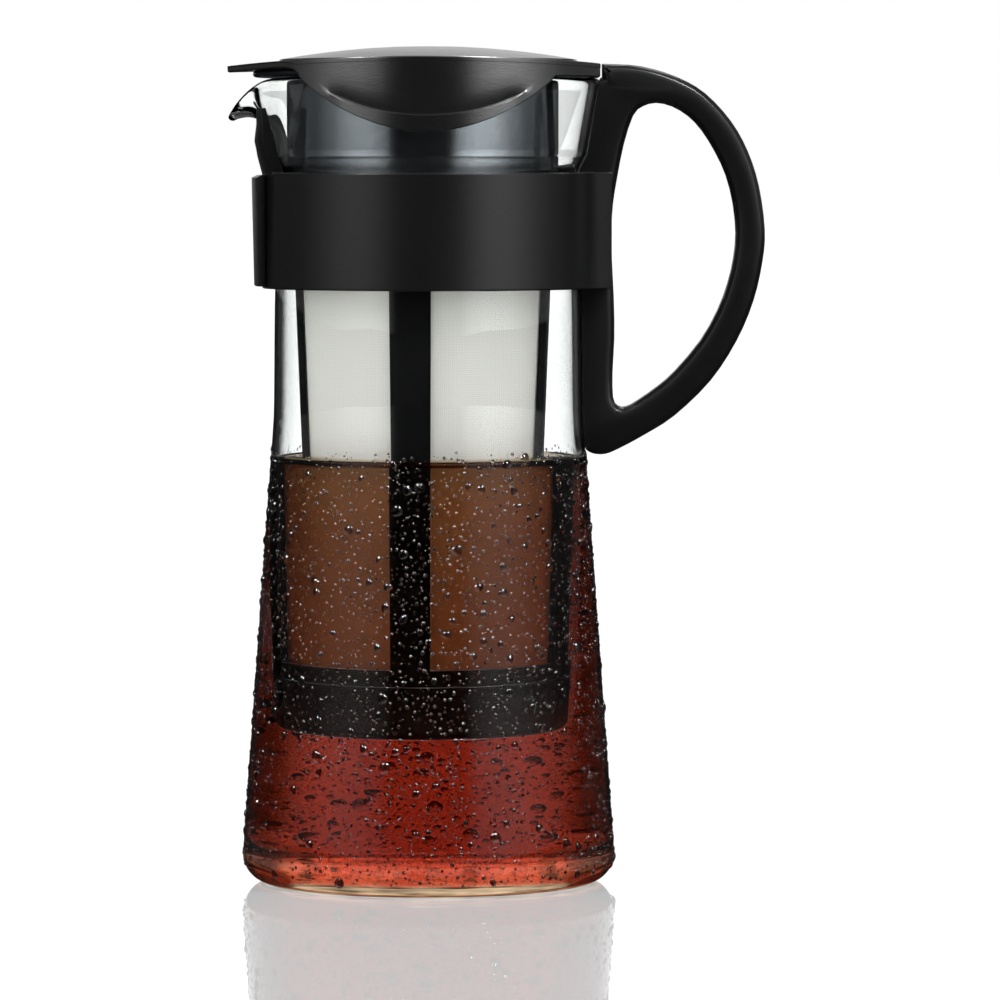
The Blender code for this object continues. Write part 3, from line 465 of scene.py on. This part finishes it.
shape = turned(bowl_profile(), BOWL_STEPS)
for vertex in shape.verts:
    pull_beak(vertex.co)
for face in shape.faces:
    middle = face.calc_center_median()
    inward = face.normal.x * middle.x + face.normal.y * middle.y < 0 or face.normal.z > UPWARD
    if inward and middle.z < WET_LEVEL:
        face.material_index = 1
    elif middle.z < FOOT_CORNER * FOOT_GLASS:
        face.material_index = 2
bowl = new_piece("glass_bowl_blown", shape, clear_glass, wet_glass, foot_glass)
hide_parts("glass_bowl")
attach(bowl, "pot")

# The coffee: cold brewed and filtered, so it is clear and red-brown, darker the more of it the eye looks through.
# It wets the glass all round and climbs it in a small meniscus.
WET_CLEAR = 0.00002
MENISCUS = 0.0016
MENISCUS_WIDE = 1.6  # how far in the meniscus reaches, in its own heights
MENISCUS_STEPS = 8
LEVEL_ENOUGH = 0.15  # the least upward part of a normal on the open surface
OPEN_DEPTH = 1.2  # how deep the open surface goes, in the meniscus's heights
WALL_START = FOOT_CORNER + 0.0010  # above it, the coffee's sides follow the upright wall
BREW_DENSITY = 72.0

# One material for the whole body of coffee. Its open surface bends light, and its sides leave that to the glass
# and carry painted shade where they are seen edge-on.
brew, tree, out = new_material("cold_brew_coffee")
opened = add_node(tree, "ShaderNodeAttribute", attribute_name="open_surface")
against_wall = add_node(tree, "ShaderNodeAttribute", attribute_name="against_wall")
# painted shade: the sides against the wall darken to brown-grey where the eye looks along them
edge = painted_rim_shade(tree, (0.08, 0.30), "ffffff", "6e5e50")
painted_edge_shade = mixed(tree, against_wall.outputs["Fac"], hex_colour("ffffff"), edge, kind="RGBA")
bend = mixed(tree, opened.outputs["Fac"], 1.0, WATER_IOR)
surface = add_node(
    tree, "ShaderNodeBsdfPrincipled", {"Roughness": 0.0, "Transmission Weight": 1.0},
    {"Base Color": painted_edge_shade, "IOR": bend},
)
colour = add_node(
    tree, "ShaderNodeVolumeAbsorption", {"Color": (0.67, 0.24, 0.10, 1.0), "Density": BREW_DENSITY}
)
tree.links.new(surface.outputs[0], out.inputs["Surface"])
tree.links.new(colour.outputs[0], out.inputs["Volume"])

low_level = WET_LEVEL - MENISCUS
edge_radius = bowl_radius(WET_LEVEL) - WALL - WET_CLEAR
line = [(max(r - WET_CLEAR, 0.0), z + WET_CLEAR) for r, z in inner_side() if z < low_level]
line.append((edge_radius, WET_LEVEL))
for i in range(1, MENISCUS_STEPS + 1):
    share = i / MENISCUS_STEPS
    away = MENISCUS * MENISCUS_WIDE * share**1.5
    line.append((edge_radius - away, WET_LEVEL - MENISCUS * (1 - (1 - share) ** 2)))
line += [(edge_radius * 0.5, low_level), (0.0, low_level)]
shape = turned(line, BOWL_STEPS)
open_surface = shape.faces.layers.float.new("open_surface")
against_wall = shape.faces.layers.float.new("against_wall")
for face in shape.faces:
    middle = face.calc_center_median()
    if face.normal.z > LEVEL_ENOUGH and middle.z > WET_LEVEL - MENISCUS * OPEN_DEPTH:
        face[open_surface] = 1.0
    elif middle.z > WALL_START:
        face[against_wall] = 1.0
coffee = new_piece("coffee", shape, brew)
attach(coffee, "pot")

# Condensation: beads of water on the outside of the cold glass, up to the coffee's level and a little past
# it. Each is a low cap, wider below where it sags, and the big ones have swallowed the small ones round them.
BIG_BEADS, BIG_BEAD = 600, (0.00062, 0.00150)
BEADS, BEAD = 3000, (0.00028, 0.00062)
MIST, MIST_BEAD = 3400, (0.00014, 0.00028)
BEAD_TOP = 0.1105
BEAD_BASE = 0.0035
BEAD_WIDE, BEAD_TALL, BEAD_THICK = (0.75, 1.10), (0.80, 1.35), (0.50, 0.70)  # in its own size
BEAD_SAG = (0.02, 0.34)
BEAD_LEAN = 0.45
BEAD_ROOM = 1.08  # the least distance between two beads, in the sum of their sizes
SMALL_BIAS = 1.6  # makes small beads the more common ones in each range
CAP_CUT = 0.12
BEAD_SINK = 0.00004  # the foot lies this deep in the glass, so that no rim shows under it
CELL = BIG_BEAD[1] * 2.4  # of the grid that finds a bead's neighbours
BEAD_CREASE = 55.0
FOOT_FACE = -0.9  # the part of a normal out of the glass, on a bead's foot
SLOPE_STEP = 0.0005
TRIES = 12  # for each bead that is wanted

# A bead is a small lens: its upper part gathers the dark studio and only its lower edge shines. The material
# paints this: painted shade darkens the top of each bead, and its rim where it is seen edge-on.
water, tree, out = new_material("condensed_water")
place = add_node(tree, "ShaderNodeAttribute", attribute_name="bead_height")
# painted shade: each bead darkens towards its top
upper = ramp(tree, place.outputs["Fac"], -0.75, -0.05)
# painted shade: each bead darkens at its rim, where the eye looks along it
lower = painted_rim_shade(tree, (0.30, 0.75), "ffffff", "6c5c56")
surface = add_node(
    tree, "ShaderNodeBsdfPrincipled",
    {
        "Roughness": 0.0, "IOR": WATER_IOR, "Transmission Weight": 1.0, "Specular IOR Level": 0.15,
        "Coat Weight": 1.0, "Coat Roughness": 0.04, "Coat IOR": 1.22,
    },
    {"Base Color": mixed(tree, upper, lower, hex_colour("40322c"), kind="RGBA")},
)
tree.links.new(surface.outputs[0], out.inputs["Surface"])
# A bead's flat foot bends no light, because the glass right under it does that
water_foot, tree, out = new_material("water_against_glass")
surface = add_node(
    tree, "ShaderNodeBsdfPrincipled",
    {"Base Color": hex_colour("ffffff"), "Roughness": 0.0, "IOR": 1.0, "Transmission Weight": 1.0},
)
tree.links.new(surface.outputs[0], out.inputs["Surface"])


def bead_cap(around, up):
    """One bead's mesh: the outer part of a ball, closed by a flat foot."""
    cap = bmesh.new()
    bmesh.ops.create_uvsphere(cap, u_segments=around, v_segments=up, radius=1.0)
    geometry = cap.verts[:] + cap.edges[:] + cap.faces[:]
    cut = bmesh.ops.bisect_plane(
        cap, geom=geometry, plane_co=(0, 0, CAP_CUT), plane_no=(0, 0, -1), clear_outer=True
    )
    rim = [item for item in cut["geom_cut"] if isinstance(item, bmesh.types.BMEdge)]
    bmesh.ops.edgeloop_fill(cap, edges=rim)
    bmesh.ops.recalc_face_normals(cap, faces=cap.faces)
    for face in cap.faces:
        face.material_index = 1 if face.normal.z < FOOT_FACE else 0
    mesh = bpy.data.meshes.new("bead")
    cap.to_mesh(mesh)
    cap.free()
    return mesh


beaded = bpy.data.collections.new("beads_of_water")


def scatter(name, count, sizes, bead, seed, taken):
    """Sets beads on the glass, each turned to its surface, with room between them."""
    chance = random.Random(seed)
    cap = np.array([v.co for v in bead.vertices])
    corners = [tuple(face.vertices) for face in bead.polygons]
    kinds = [face.material_index for face in bead.polygons]
    points, faces = [], []
    tries = 0
    while len(points) < count and tries < count * TRIES:
        tries += 1
        height = BEAD_BASE + (BEAD_TOP - BEAD_BASE) * chance.random()
        if height > WET_LEVEL and chance.random() < (height - WET_LEVEL) / (BEAD_TOP - WET_LEVEL):
            continue
        turn = chance.uniform(-math.pi, math.pi)
        size = sizes[0] + (sizes[1] - sizes[0]) * chance.random() ** SMALL_BIAS
        along = turn * BODY_RADIUS
        key = (int(along / CELL), int(height / CELL))
        near = [b for i in (-1, 0, 1) for k in (-1, 0, 1) for b in taken.get((key[0] + i, key[1] + k), ())]
        if any(math.hypot(along - b[0], height - b[1]) < (size + b[2]) * BEAD_ROOM for b in near):
            continue
        taken.setdefault(key, []).append((along, height, size))
        slope = (bowl_radius(height - SLOPE_STEP) - bowl_radius(height + SLOPE_STEP)) / (2 * SLOPE_STEP)
        wide = size * chance.uniform(*BEAD_WIDE)
        tall = size * chance.uniform(*BEAD_TALL)
        thick = size * chance.uniform(*BEAD_THICK)
        # in the cap, x runs round the glass, y up it and z out of it, and a bead sags towards its foot
        sag = 1.0 - chance.uniform(*BEAD_SAG) * cap[:, 1]
        own = (cap[:, 0] * wide * sag, cap[:, 1] * tall, (cap[:, 2] - CAP_CUT) * thick - BEAD_SINK)
        stand = (
            Matrix.Rotation(turn, 4, "Z")
            @ Matrix.Translation((bowl_radius(height), 0.0, height))
            @ Matrix.Rotation(-math.atan(slope), 4, "Y")
            @ Matrix(((0, 0, 1, 0), (1, 0, 0, 0), (0, 1, 0, 0), (0, 0, 0, 1)))
            @ Matrix.Rotation(chance.gauss(0.0, BEAD_LEAN), 4, "Z")
        )
        start = len(points) * len(cap)
        points.append(np.column_stack(own) @ np.array(stand.to_3x3()).T + np.array(stand.to_translation()))
        faces += [tuple(start + corner for corner in face) for face in corners]
    mesh = bpy.data.meshes.new(name)
    mesh.from_pydata(np.concatenate(points).tolist(), [], faces)
    mesh.shade_smooth()
    mesh.materials.append(water)
    mesh.materials.append(water_foot)
    mesh.polygons.foreach_set("material_index", kinds * len(points))
    mesh.set_sharp_from_angle(angle=math.radians(BEAD_CREASE))
    heights = mesh.attributes.new("bead_height", "FLOAT", "POINT")
    heights.data.foreach_set("value", np.tile(cap[:, 1], len(points)))
    beads = bpy.data.objects.new(name, mesh)
    bpy.context.scene.collection.objects.link(beads)
    beaded.objects.link(beads)
    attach(beads, "pot")


spots = {}
scatter("condensation_big_beads", BIG_BEADS, BIG_BEAD, bead_cap(around=14, up=10), seed=3, taken=spots)
scatter("condensation_beads", BEADS, BEAD, bead_cap(around=10, up=6), seed=5, taken=spots)
scatter("condensation_more_beads", BEADS, BEAD, bead_cap(around=10, up=6), seed=6, taken=spots)
scatter("condensation_mist", MIST, MIST_BEAD, bead_cap(around=8, up=4), seed=7, taken=spots)

# Two softboxes light the beads alone, and give each its pair of small bright spots
for name, azimuth in (("softbox_beads_left", -48), ("softbox_beads_right", 44)):
    lamp = softbox(name, azimuth, elevation=44, distance=1.3, width=0.36, height=0.42, watts=60.0)
    lamp.light_linking.receiver_collection = beaded

# The black plastic: polypropylene, injection moulded in tools with a fine satin grain. It is dyed through, so it
# stays black where it wears, and its broad soft gloss comes from the grain.
DRIFT_SCALE = 45.0  # of the slow changes in tone and gloss
DRIFT_TONE = 1.35
DRIFT_GLOSS = 0.015


def plastic_material(name, colour, roughness, grain_mm, grain_depth, ior, gloss, edge=0.0003):
    """Moulded polypropylene: a grain of the given size, slight drifts in gloss, and rounded mould edges."""
    material, tree, out = new_material(name)
    at = add_node(tree, "ShaderNodeTexCoord").outputs["Object"]
    grain = add_node(tree, "ShaderNodeTexNoise", {"Scale": 1000.0 / grain_mm, "Detail": 2.0}, {"Vector": at})
    drift = add_node(tree, "ShaderNodeTexNoise", {"Scale": DRIFT_SCALE, "Detail": 3.0}, {"Vector": at})
    deep = hex_colour(colour)
    pale = [c * DRIFT_TONE for c in deep[:3]] + [1.0]
    shine = ramp(
        tree, drift.outputs["Fac"], 0.3, 0.7, roughness - DRIFT_GLOSS, roughness + DRIFT_GLOSS, smooth=False
    )
    rounded = add_node(tree, "ShaderNodeBevel", {"Radius": edge}, samples=4)
    bump = add_node(
        tree, "ShaderNodeBump", {"Strength": grain_depth, "Distance": 0.0001},
        {"Height": grain.outputs["Fac"], "Normal": rounded.outputs[0]},
    )
    shader = add_node(
        tree, "ShaderNodeBsdfPrincipled", {"IOR": ior, "Specular IOR Level": gloss},
        {
            "Base Color": mixed(tree, drift.outputs["Fac"], deep, pale, kind="RGBA"),
            "Roughness": shine, "Normal": bump.outputs[0],
        },
    )
    tree.links.new(shader.outputs[0], out.inputs["Surface"])
    return material


# Satin black with broad soft highlights, on the handle and the lock
black = plastic_material(
    "black_polypropylene_satin", "060707", roughness=0.30, grain_mm=0.35, grain_depth=0.22, ior=1.6, gloss=1.0
)
# The collar comes out of a polished tool, so it mirrors the panels in soft blue-grey bands
collar_black = plastic_material(
    "blue_black_polypropylene_smooth", "0a0c0e", roughness=0.15, grain_mm=0.8, grain_depth=0.02, ior=2.1, gloss=1.0
)
collar_black.node_tree.nodes["Principled BSDF"].inputs["Specular Tint"].default_value = hex_colour("eef6ff")
# A dull black that hardly shows in coffee, on the basket's frame and cup
basket_black = plastic_material(
    "black_polypropylene_basket", "050606", roughness=0.34, grain_mm=0.6, grain_depth=0.06, ior=1.49, gloss=0.25
)
WELD_DISTANCE = 2e-6
MOULD_CREASE = 30.0


def merged_copy(node):
    """A CAD node's mesh with its corners merged and its sharp edges kept."""
    shape = bmesh.new()
    shape.from_mesh(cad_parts[node].data)
    bmesh.ops.remove_doubles(shape, verts=shape.verts, dist=WELD_DISTANCE)
    for face in shape.faces:
        face.smooth = True
        face.material_index = 0
    mark_sharp(shape, MOULD_CREASE)
    return shape


for node, body, finish, slot in (
    # The handle: one moulding from the D grip to the strap round the neck, with the two arms beside the beak
    ("handle", "pot", black, "handle_plastic"),
    # The lock: a small block of the same plastic, which slides over both ends of the strap and holds them
    ("band_lock", "lock", black, "handle_plastic"),
    # The strainer's collar: a thin tube with a flange that rests on the rim, moulded round a polished core
    ("strainer_collar", "strainer", collar_black, "strainer_plastic"),
    # The basket's frame: upright ribs between rings, open between them for the mesh
    ("basket_frame", "basket", basket_black, "strainer_plastic"),
    # The basket's cup: its solid bottom, a moulding of its own that closes the mesh sleeve
    ("basket_cup", "basket", basket_black, "strainer_plastic"),
):
    piece = new_piece(node + "_finished", merged_copy(node), finish)
    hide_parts(node)
    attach(piece, body)

# The lid: one polypropylene moulding. Its arched top carries a low dome and runs out in a tongue over the beak,
# its skirt closes round the strainer's flange, and the crescent aprons in front and behind have a raised lip.
LID_RADIUS, LID_END, LID_TOP = 0.0452, 0.0433, 0.2081
LID_ARCH = 0.0014
SKIRT_LOW, PLATE_LOW = 0.2033, 0.2054
SKIRT_IN = 0.0436
SKIRT_THIN = 0.0005
SEAT_RADIUS, SEAT_X = 0.0433, -0.0014  # room for the strainer's flange
TONGUE_TIP, TONGUE_ROOT_HALF, TONGUE_TIP_HALF, TONGUE_WALL = 0.0506, 0.0300, 0.0055, 0.0016
TONGUE_UNDER = 0.038  # where the underside of the tongue starts to rise
TONGUE_TURN = 4.3  # how quickly the skirt's edge turns into that underside
APRON_DROP, APRON_HALF, APRON_CURVE = 0.0139, 0.0318, 0.8
LIP_DROP, LIP_HALF, LIP_RISE = 0.0101, 0.0275, 0.0006
LIP_FADE, LIP_END = 0.0060, 0.0015  # how far its ends fade, and how far before its half length they're gone
LIP_LEAST = 0.0008  # its height at the ends
LIP_GROOVE, LIP_TOP = 0.00035, 0.00045
DOME_RADIUS, DOME_TOP, DOME_SAG = 0.0375, 0.2112, 0.0034
DOME_SMOOTH = 0.0002
PLUG_OUT, PLUG_IN, PLUG_LOW, PLUG_ROUND = 0.0306, 0.0290, 0.2014, 0.0003
TOP_WALL = 0.0016
STEP_DOWN, STEP_DEEP, SIDE_LEAST = 0.00120, 0.00007, 0.0013  # the fine line round the lid under its top edge
EDGE_ROUND = 0.0003
SMALL_ROUND = 0.0004  # where the plug and the lower edge turn
LID_CREASE = 34.0
FLAT_STEPS, ROUND_STEPS, NOSE_STEPS = 6, 110, 14

# The same plastic with a finer grain: dark, with sharper highlights on its edges and over the dome
lid_black = plastic_material(
    "black_polypropylene_lid", "040505", roughness=0.22, grain_mm=0.35, grain_depth=0.18, ior=2.35, gloss=1.0,
    edge=0.0001,
)


def grow(shape, ring, places):
    """Extrudes a closed ring of corners and sets each new corner in its place."""
    edges = [shape.edges.get(pair) for pair in zip(ring, ring[1:] + ring[:1])]
    made = bmesh.ops.extrude_edge_only(shape, edges=edges)["geom"]
    new = {item for item in made if isinstance(item, bmesh.types.BMVert)}
    ring = [next(e.other_vert(v) for e in v.link_edges if e.other_vert(v) in new) for v in ring]
    for vertex, place in zip(ring, places):
        vertex.co = place
    return ring


def lid_outline():
    """The lid seen from above: a circle with a flat at the handle and a tongue over the beak."""
    flat = math.degrees(math.acos(LID_END / LID_RADIUS))
    root = math.degrees(math.asin(TONGUE_ROOT_HALF / LID_RADIUS))
    half = [(LID_END, LID_RADIUS * math.sin(math.radians(flat)) * i / FLAT_STEPS) for i in range(FLAT_STEPS)]
    half += arc((0.0, 0.0), LID_RADIUS, flat, 180.0 - root, ROUND_STEPS)
    x_root, y_root = half[-1]
    x_near = x_root - (TONGUE_TIP + x_root) * 0.52
    nose = [(x_root, y_root), (x_near, y_root * 0.62), (TONGUE_TIP_HALF * 0.25 - TONGUE_TIP, TONGUE_TIP_HALF)]
    half += smooth_line(nose, NOSE_STEPS)[1:] + [(-TONGUE_TIP, TONGUE_TIP_HALF * 0.45), (-TONGUE_TIP, 0.0)]
    return half + [(x, -y) for x, y in reversed(half[1:-1])]


def arched(x):
    """Height of the lid's arched top."""
    return LID_TOP - LID_ARCH * (x / LID_END) ** 2


def lid_low(x):
    """Height of the lid's lower edge: the aprons, the skirt's edge, and the underside of the tongue."""
    if x > -APRON_HALF:
        hang = max(math.cos(min(x / APRON_HALF, 1.0) * math.pi / 2), 0.0) ** APRON_CURVE
        return SKIRT_LOW - APRON_DROP * hang
    share = min((-APRON_HALF - x) / (TONGUE_TIP - APRON_HALF) * TONGUE_TURN, 1.0)
    rise = max(-x - TONGUE_UNDER, 0.0) / (TONGUE_TIP - TONGUE_UNDER)
    plate = PLATE_LOW + (arched(TONGUE_TIP) - TONGUE_WALL - PLATE_LOW) * rise
    return SKIRT_LOW + (plate - SKIRT_LOW) * math.sqrt(1 - (1 - share) ** 2)


def lip_line(x):
    """Height of the raised lip's upper edge above a place along the lid, and how far the lip stands out."""
    u = min(abs(x) / LIP_HALF, 1.0)
    line = SKIRT_LOW - LIP_DROP * math.sqrt(max(math.cos(u * math.pi / 2), 0.0))
    fade = min(max((LIP_HALF - LIP_END - abs(x)) / LIP_FADE, 0.0), 1.0)
    return max(line, lid_low(x) + LIP_LEAST), fade * fade * (3 - 2 * fade)


def step_line(x):
    """Height of the fine line under the lid's top edge."""
    return max(arched(x) - STEP_DOWN, lid_low(x) + SIDE_LEAST)


def lid_roof(x, y):
    """Height of the lid's top, where the dome stands on the arch."""
    radius = math.hypot(x, y)
    high = DOME_TOP - DOME_SAG * (radius / DOME_RADIUS) ** 2
    low = arched(x)
    return low if radius > DOME_RADIUS else (low + high + math.hypot(low - high, DOME_SMOOTH)) / 2


def under_roof(x, y):
    """Height of the dome's underside."""
    return DOME_TOP - TOP_WALL - DOME_SAG * (math.hypot(x, y) / DOME_RADIUS) ** 2


outline = lid_outline()
outward = []
for i, (x, y) in enumerate(outline):
    (x0, y0), (x1, y1) = outline[i - 1], outline[(i + 1) % len(outline)]
    span = math.hypot(x1 - x0, y1 - y0)
    outward.append(((y1 - y0) / span, (x0 - x1) / span))


def side_row(out, height):
    """A row round the lid's side: out(x) from its outline, at height(x)."""
    return [(x + nx * out(x), y + ny * out(x), height(x)) for (x, y), (nx, ny) in zip(outline, outward)]


def inner_row(radius, height, share=0.0):
    """A row under or over the lid at a radius, or a share of the way from there to the outline."""
    row = []
    for x, y in outline:
        reach = math.hypot(x, y)
        away = radius + (reach - radius) * share
        place = (x / reach * away, y / reach * away)
        row.append((*place, height(*place)))
    return row


def skirt_row(height):
    """A row on the skirt's inner side, which makes room for the flange."""
    row = []
    for x, y in outline:
        reach = math.hypot(x, y)
        off = SEAT_X * x / reach
        seat = off + math.sqrt(SEAT_RADIUS**2 - (SEAT_X * y / reach) ** 2)
        away = min(max(SKIRT_IN, seat), reach - SKIRT_THIN)
        if x > 0:
            away = min(away, (LID_END - TOP_WALL) * reach / x)
        place = (x / reach * away, y / reach * away)
        row.append((*place, height(place[0])))
    return row


def flat_at(height):
    """A row's height where it is the same all round."""
    return lambda *place: height


# Rows of corners from the middle of the underside, over the plug, the skirt and the side, to the dome's middle
rows = [inner_row(radius, under_roof) for radius in (0.004, 0.012, 0.021, PLUG_IN - SMALL_ROUND)]
rows += [
    inner_row(radius, flat_at(height))
    for radius, height in (
        (PLUG_IN, PLATE_LOW), (PLUG_IN, PLUG_LOW + PLUG_ROUND), (PLUG_IN + PLUG_ROUND, PLUG_LOW),
        (PLUG_OUT - PLUG_ROUND, PLUG_LOW), (PLUG_OUT, PLUG_LOW + PLUG_ROUND),
        (PLUG_OUT, PLATE_LOW - SMALL_ROUND), (PLUG_OUT + SMALL_ROUND, PLATE_LOW), (0.0400, PLATE_LOW),
    )
]
rows.append(skirt_row(lambda x: PLATE_LOW + 0.00001))
rows.append(skirt_row(lambda x: min(lid_low(x), PLATE_LOW) + 0.00002))
rows.append(side_row(lambda x: -SMALL_ROUND, lid_low))
for share, out, up in ((0.0, -0.00015, 0.00008), (0.0, 0.0, 0.00025), (0.5, 0.0, 0.00025), (1.0, 0.0, 0.00025)):
    rows.append(side_row(
        lambda x: LIP_RISE * lip_line(x)[1] - STEP_DEEP + out,
        lambda x: lid_low(x) + (lip_line(x)[0] - lid_low(x)) * share + up,
    ))
for share in (0.0, 0.08, 0.2, 0.4, 0.7, 1.0):
    rows.append(side_row(
        lambda x: -STEP_DEEP - LIP_GROOVE * lip_line(x)[1] * max(1 - share * 2.2, 0.0) ** 2,
        lambda x: lip_line(x)[0] + LIP_TOP + (step_line(x) - lip_line(x)[0] - LIP_TOP) * share,
    ))
for up in (0.00006, 0.00014):
    rows.append(side_row(lambda x: 0.0, lambda x: step_line(x) + up))
rows.append(side_row(lambda x: 0.0, lambda x: arched(x) - EDGE_ROUND - 0.00008))
for turn in (0, 22, 45, 68, 90):
    back, down = (EDGE_ROUND * (1 - wave(math.radians(turn))) for wave in (math.cos, math.sin))
    rows.append(side_row(lambda x: -back, lambda x: arched(x) - down))
rows.append(side_row(lambda x: -EDGE_ROUND - 0.0001, arched))
rows += [inner_row(DOME_RADIUS, lid_roof, share) for share in (0.85, 0.5, 0.2)]
rows += [
    inner_row(radius, lid_roof)
    for radius in (
        0.03760, 0.03745, 0.03725, 0.0368, 0.0362, 0.0355, 0.0346, 0.0330, 0.0300, 0.0255, 0.0205, 0.0150,
        0.0090, 0.0035,
    )
]
shape = bmesh.new()
first = [shape.verts.new(place) for place in rows[0]]
for pair in zip(first, first[1:] + first[:1]):
    shape.edges.new(pair)
ring = first
for row in rows[1:]:
    ring = grow(shape, ring, row)
bmesh.ops.pointmerge(shape, verts=ring, merge_co=(0.0, 0.0, DOME_TOP))
bmesh.ops.pointmerge(shape, verts=first, merge_co=(0.0, 0.0, under_roof(0.0, 0.0)))
bmesh.ops.recalc_face_normals(shape, faces=shape.faces)
for face in shape.faces:
    face.smooth = True
mark_sharp(shape, LID_CREASE)
lid = new_piece("lid_moulding", shape, lid_black)
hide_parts("lid")
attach(lid, "lid")

# The filter mesh: fine polyester, woven flat and welded into a sleeve behind the ribs. It is pale and half
# see-through, with a faint weave, and coffee stains it brown below its surface.
THREAD_PITCH_MM = 0.5  # the real pitch is about 0.15 mm, which is too fine to show
BANDS_PER_METRE = 20 / (2 * math.pi)  # of a wave texture at scale 1
OPEN_LEAST, OPEN_MOST = 0.27, 0.41  # the share of light that passes at a crossing and in a hole
SOAK_SPAN = (WET_LEVEL + 0.0004, WET_LEVEL - 0.0006)

mesh_stuff, tree, out = new_material("woven_polyester_mesh")
at = add_node(tree, "ShaderNodeTexCoord").outputs["Object"]
split = add_node(tree, "ShaderNodeSeparateXYZ", links={0: at})
soaked = ramp(tree, split.outputs["Z"], *SOAK_SPAN, smooth=False)
dye = mixed(tree, soaked, hex_colour("f0efeb"), hex_colour("b89f6a"), kind="RGBA")
cloth = add_node(tree, "ShaderNodeBsdfPrincipled", {"Roughness": 0.6}, {"Base Color": dye})
through = add_node(tree, "ShaderNodeBsdfTranslucent", None, {"Color": dye})
body = add_node(tree, "ShaderNodeMixShader", {0: 0.5}, {1: cloth.outputs[0], 2: through.outputs[0]})
fine = 1000.0 / THREAD_PITCH_MM / BANDS_PER_METRE
weft, warp = (
    add_node(tree, "ShaderNodeTexWave", {"Scale": fine}, {"Vector": at}, bands_direction=axis).outputs["Fac"]
    for axis in ("Z", "X")
)
open_share = ramp(tree, product(tree, weft, warp), 0.0, 1.0, OPEN_LEAST, OPEN_MOST, smooth=False)
gap = add_node(tree, "ShaderNodeBsdfTransparent")
whole = add_node(tree, "ShaderNodeMixShader", None, {0: open_share, 1: body.outputs[0], 2: gap.outputs[0]})
tree.links.new(whole.outputs[0], out.inputs["Surface"])
sleeve = new_piece("filter_mesh_finished", merged_copy("filter_mesh"), mesh_stuff)
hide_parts("filter_mesh")
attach(sleeve, "basket")
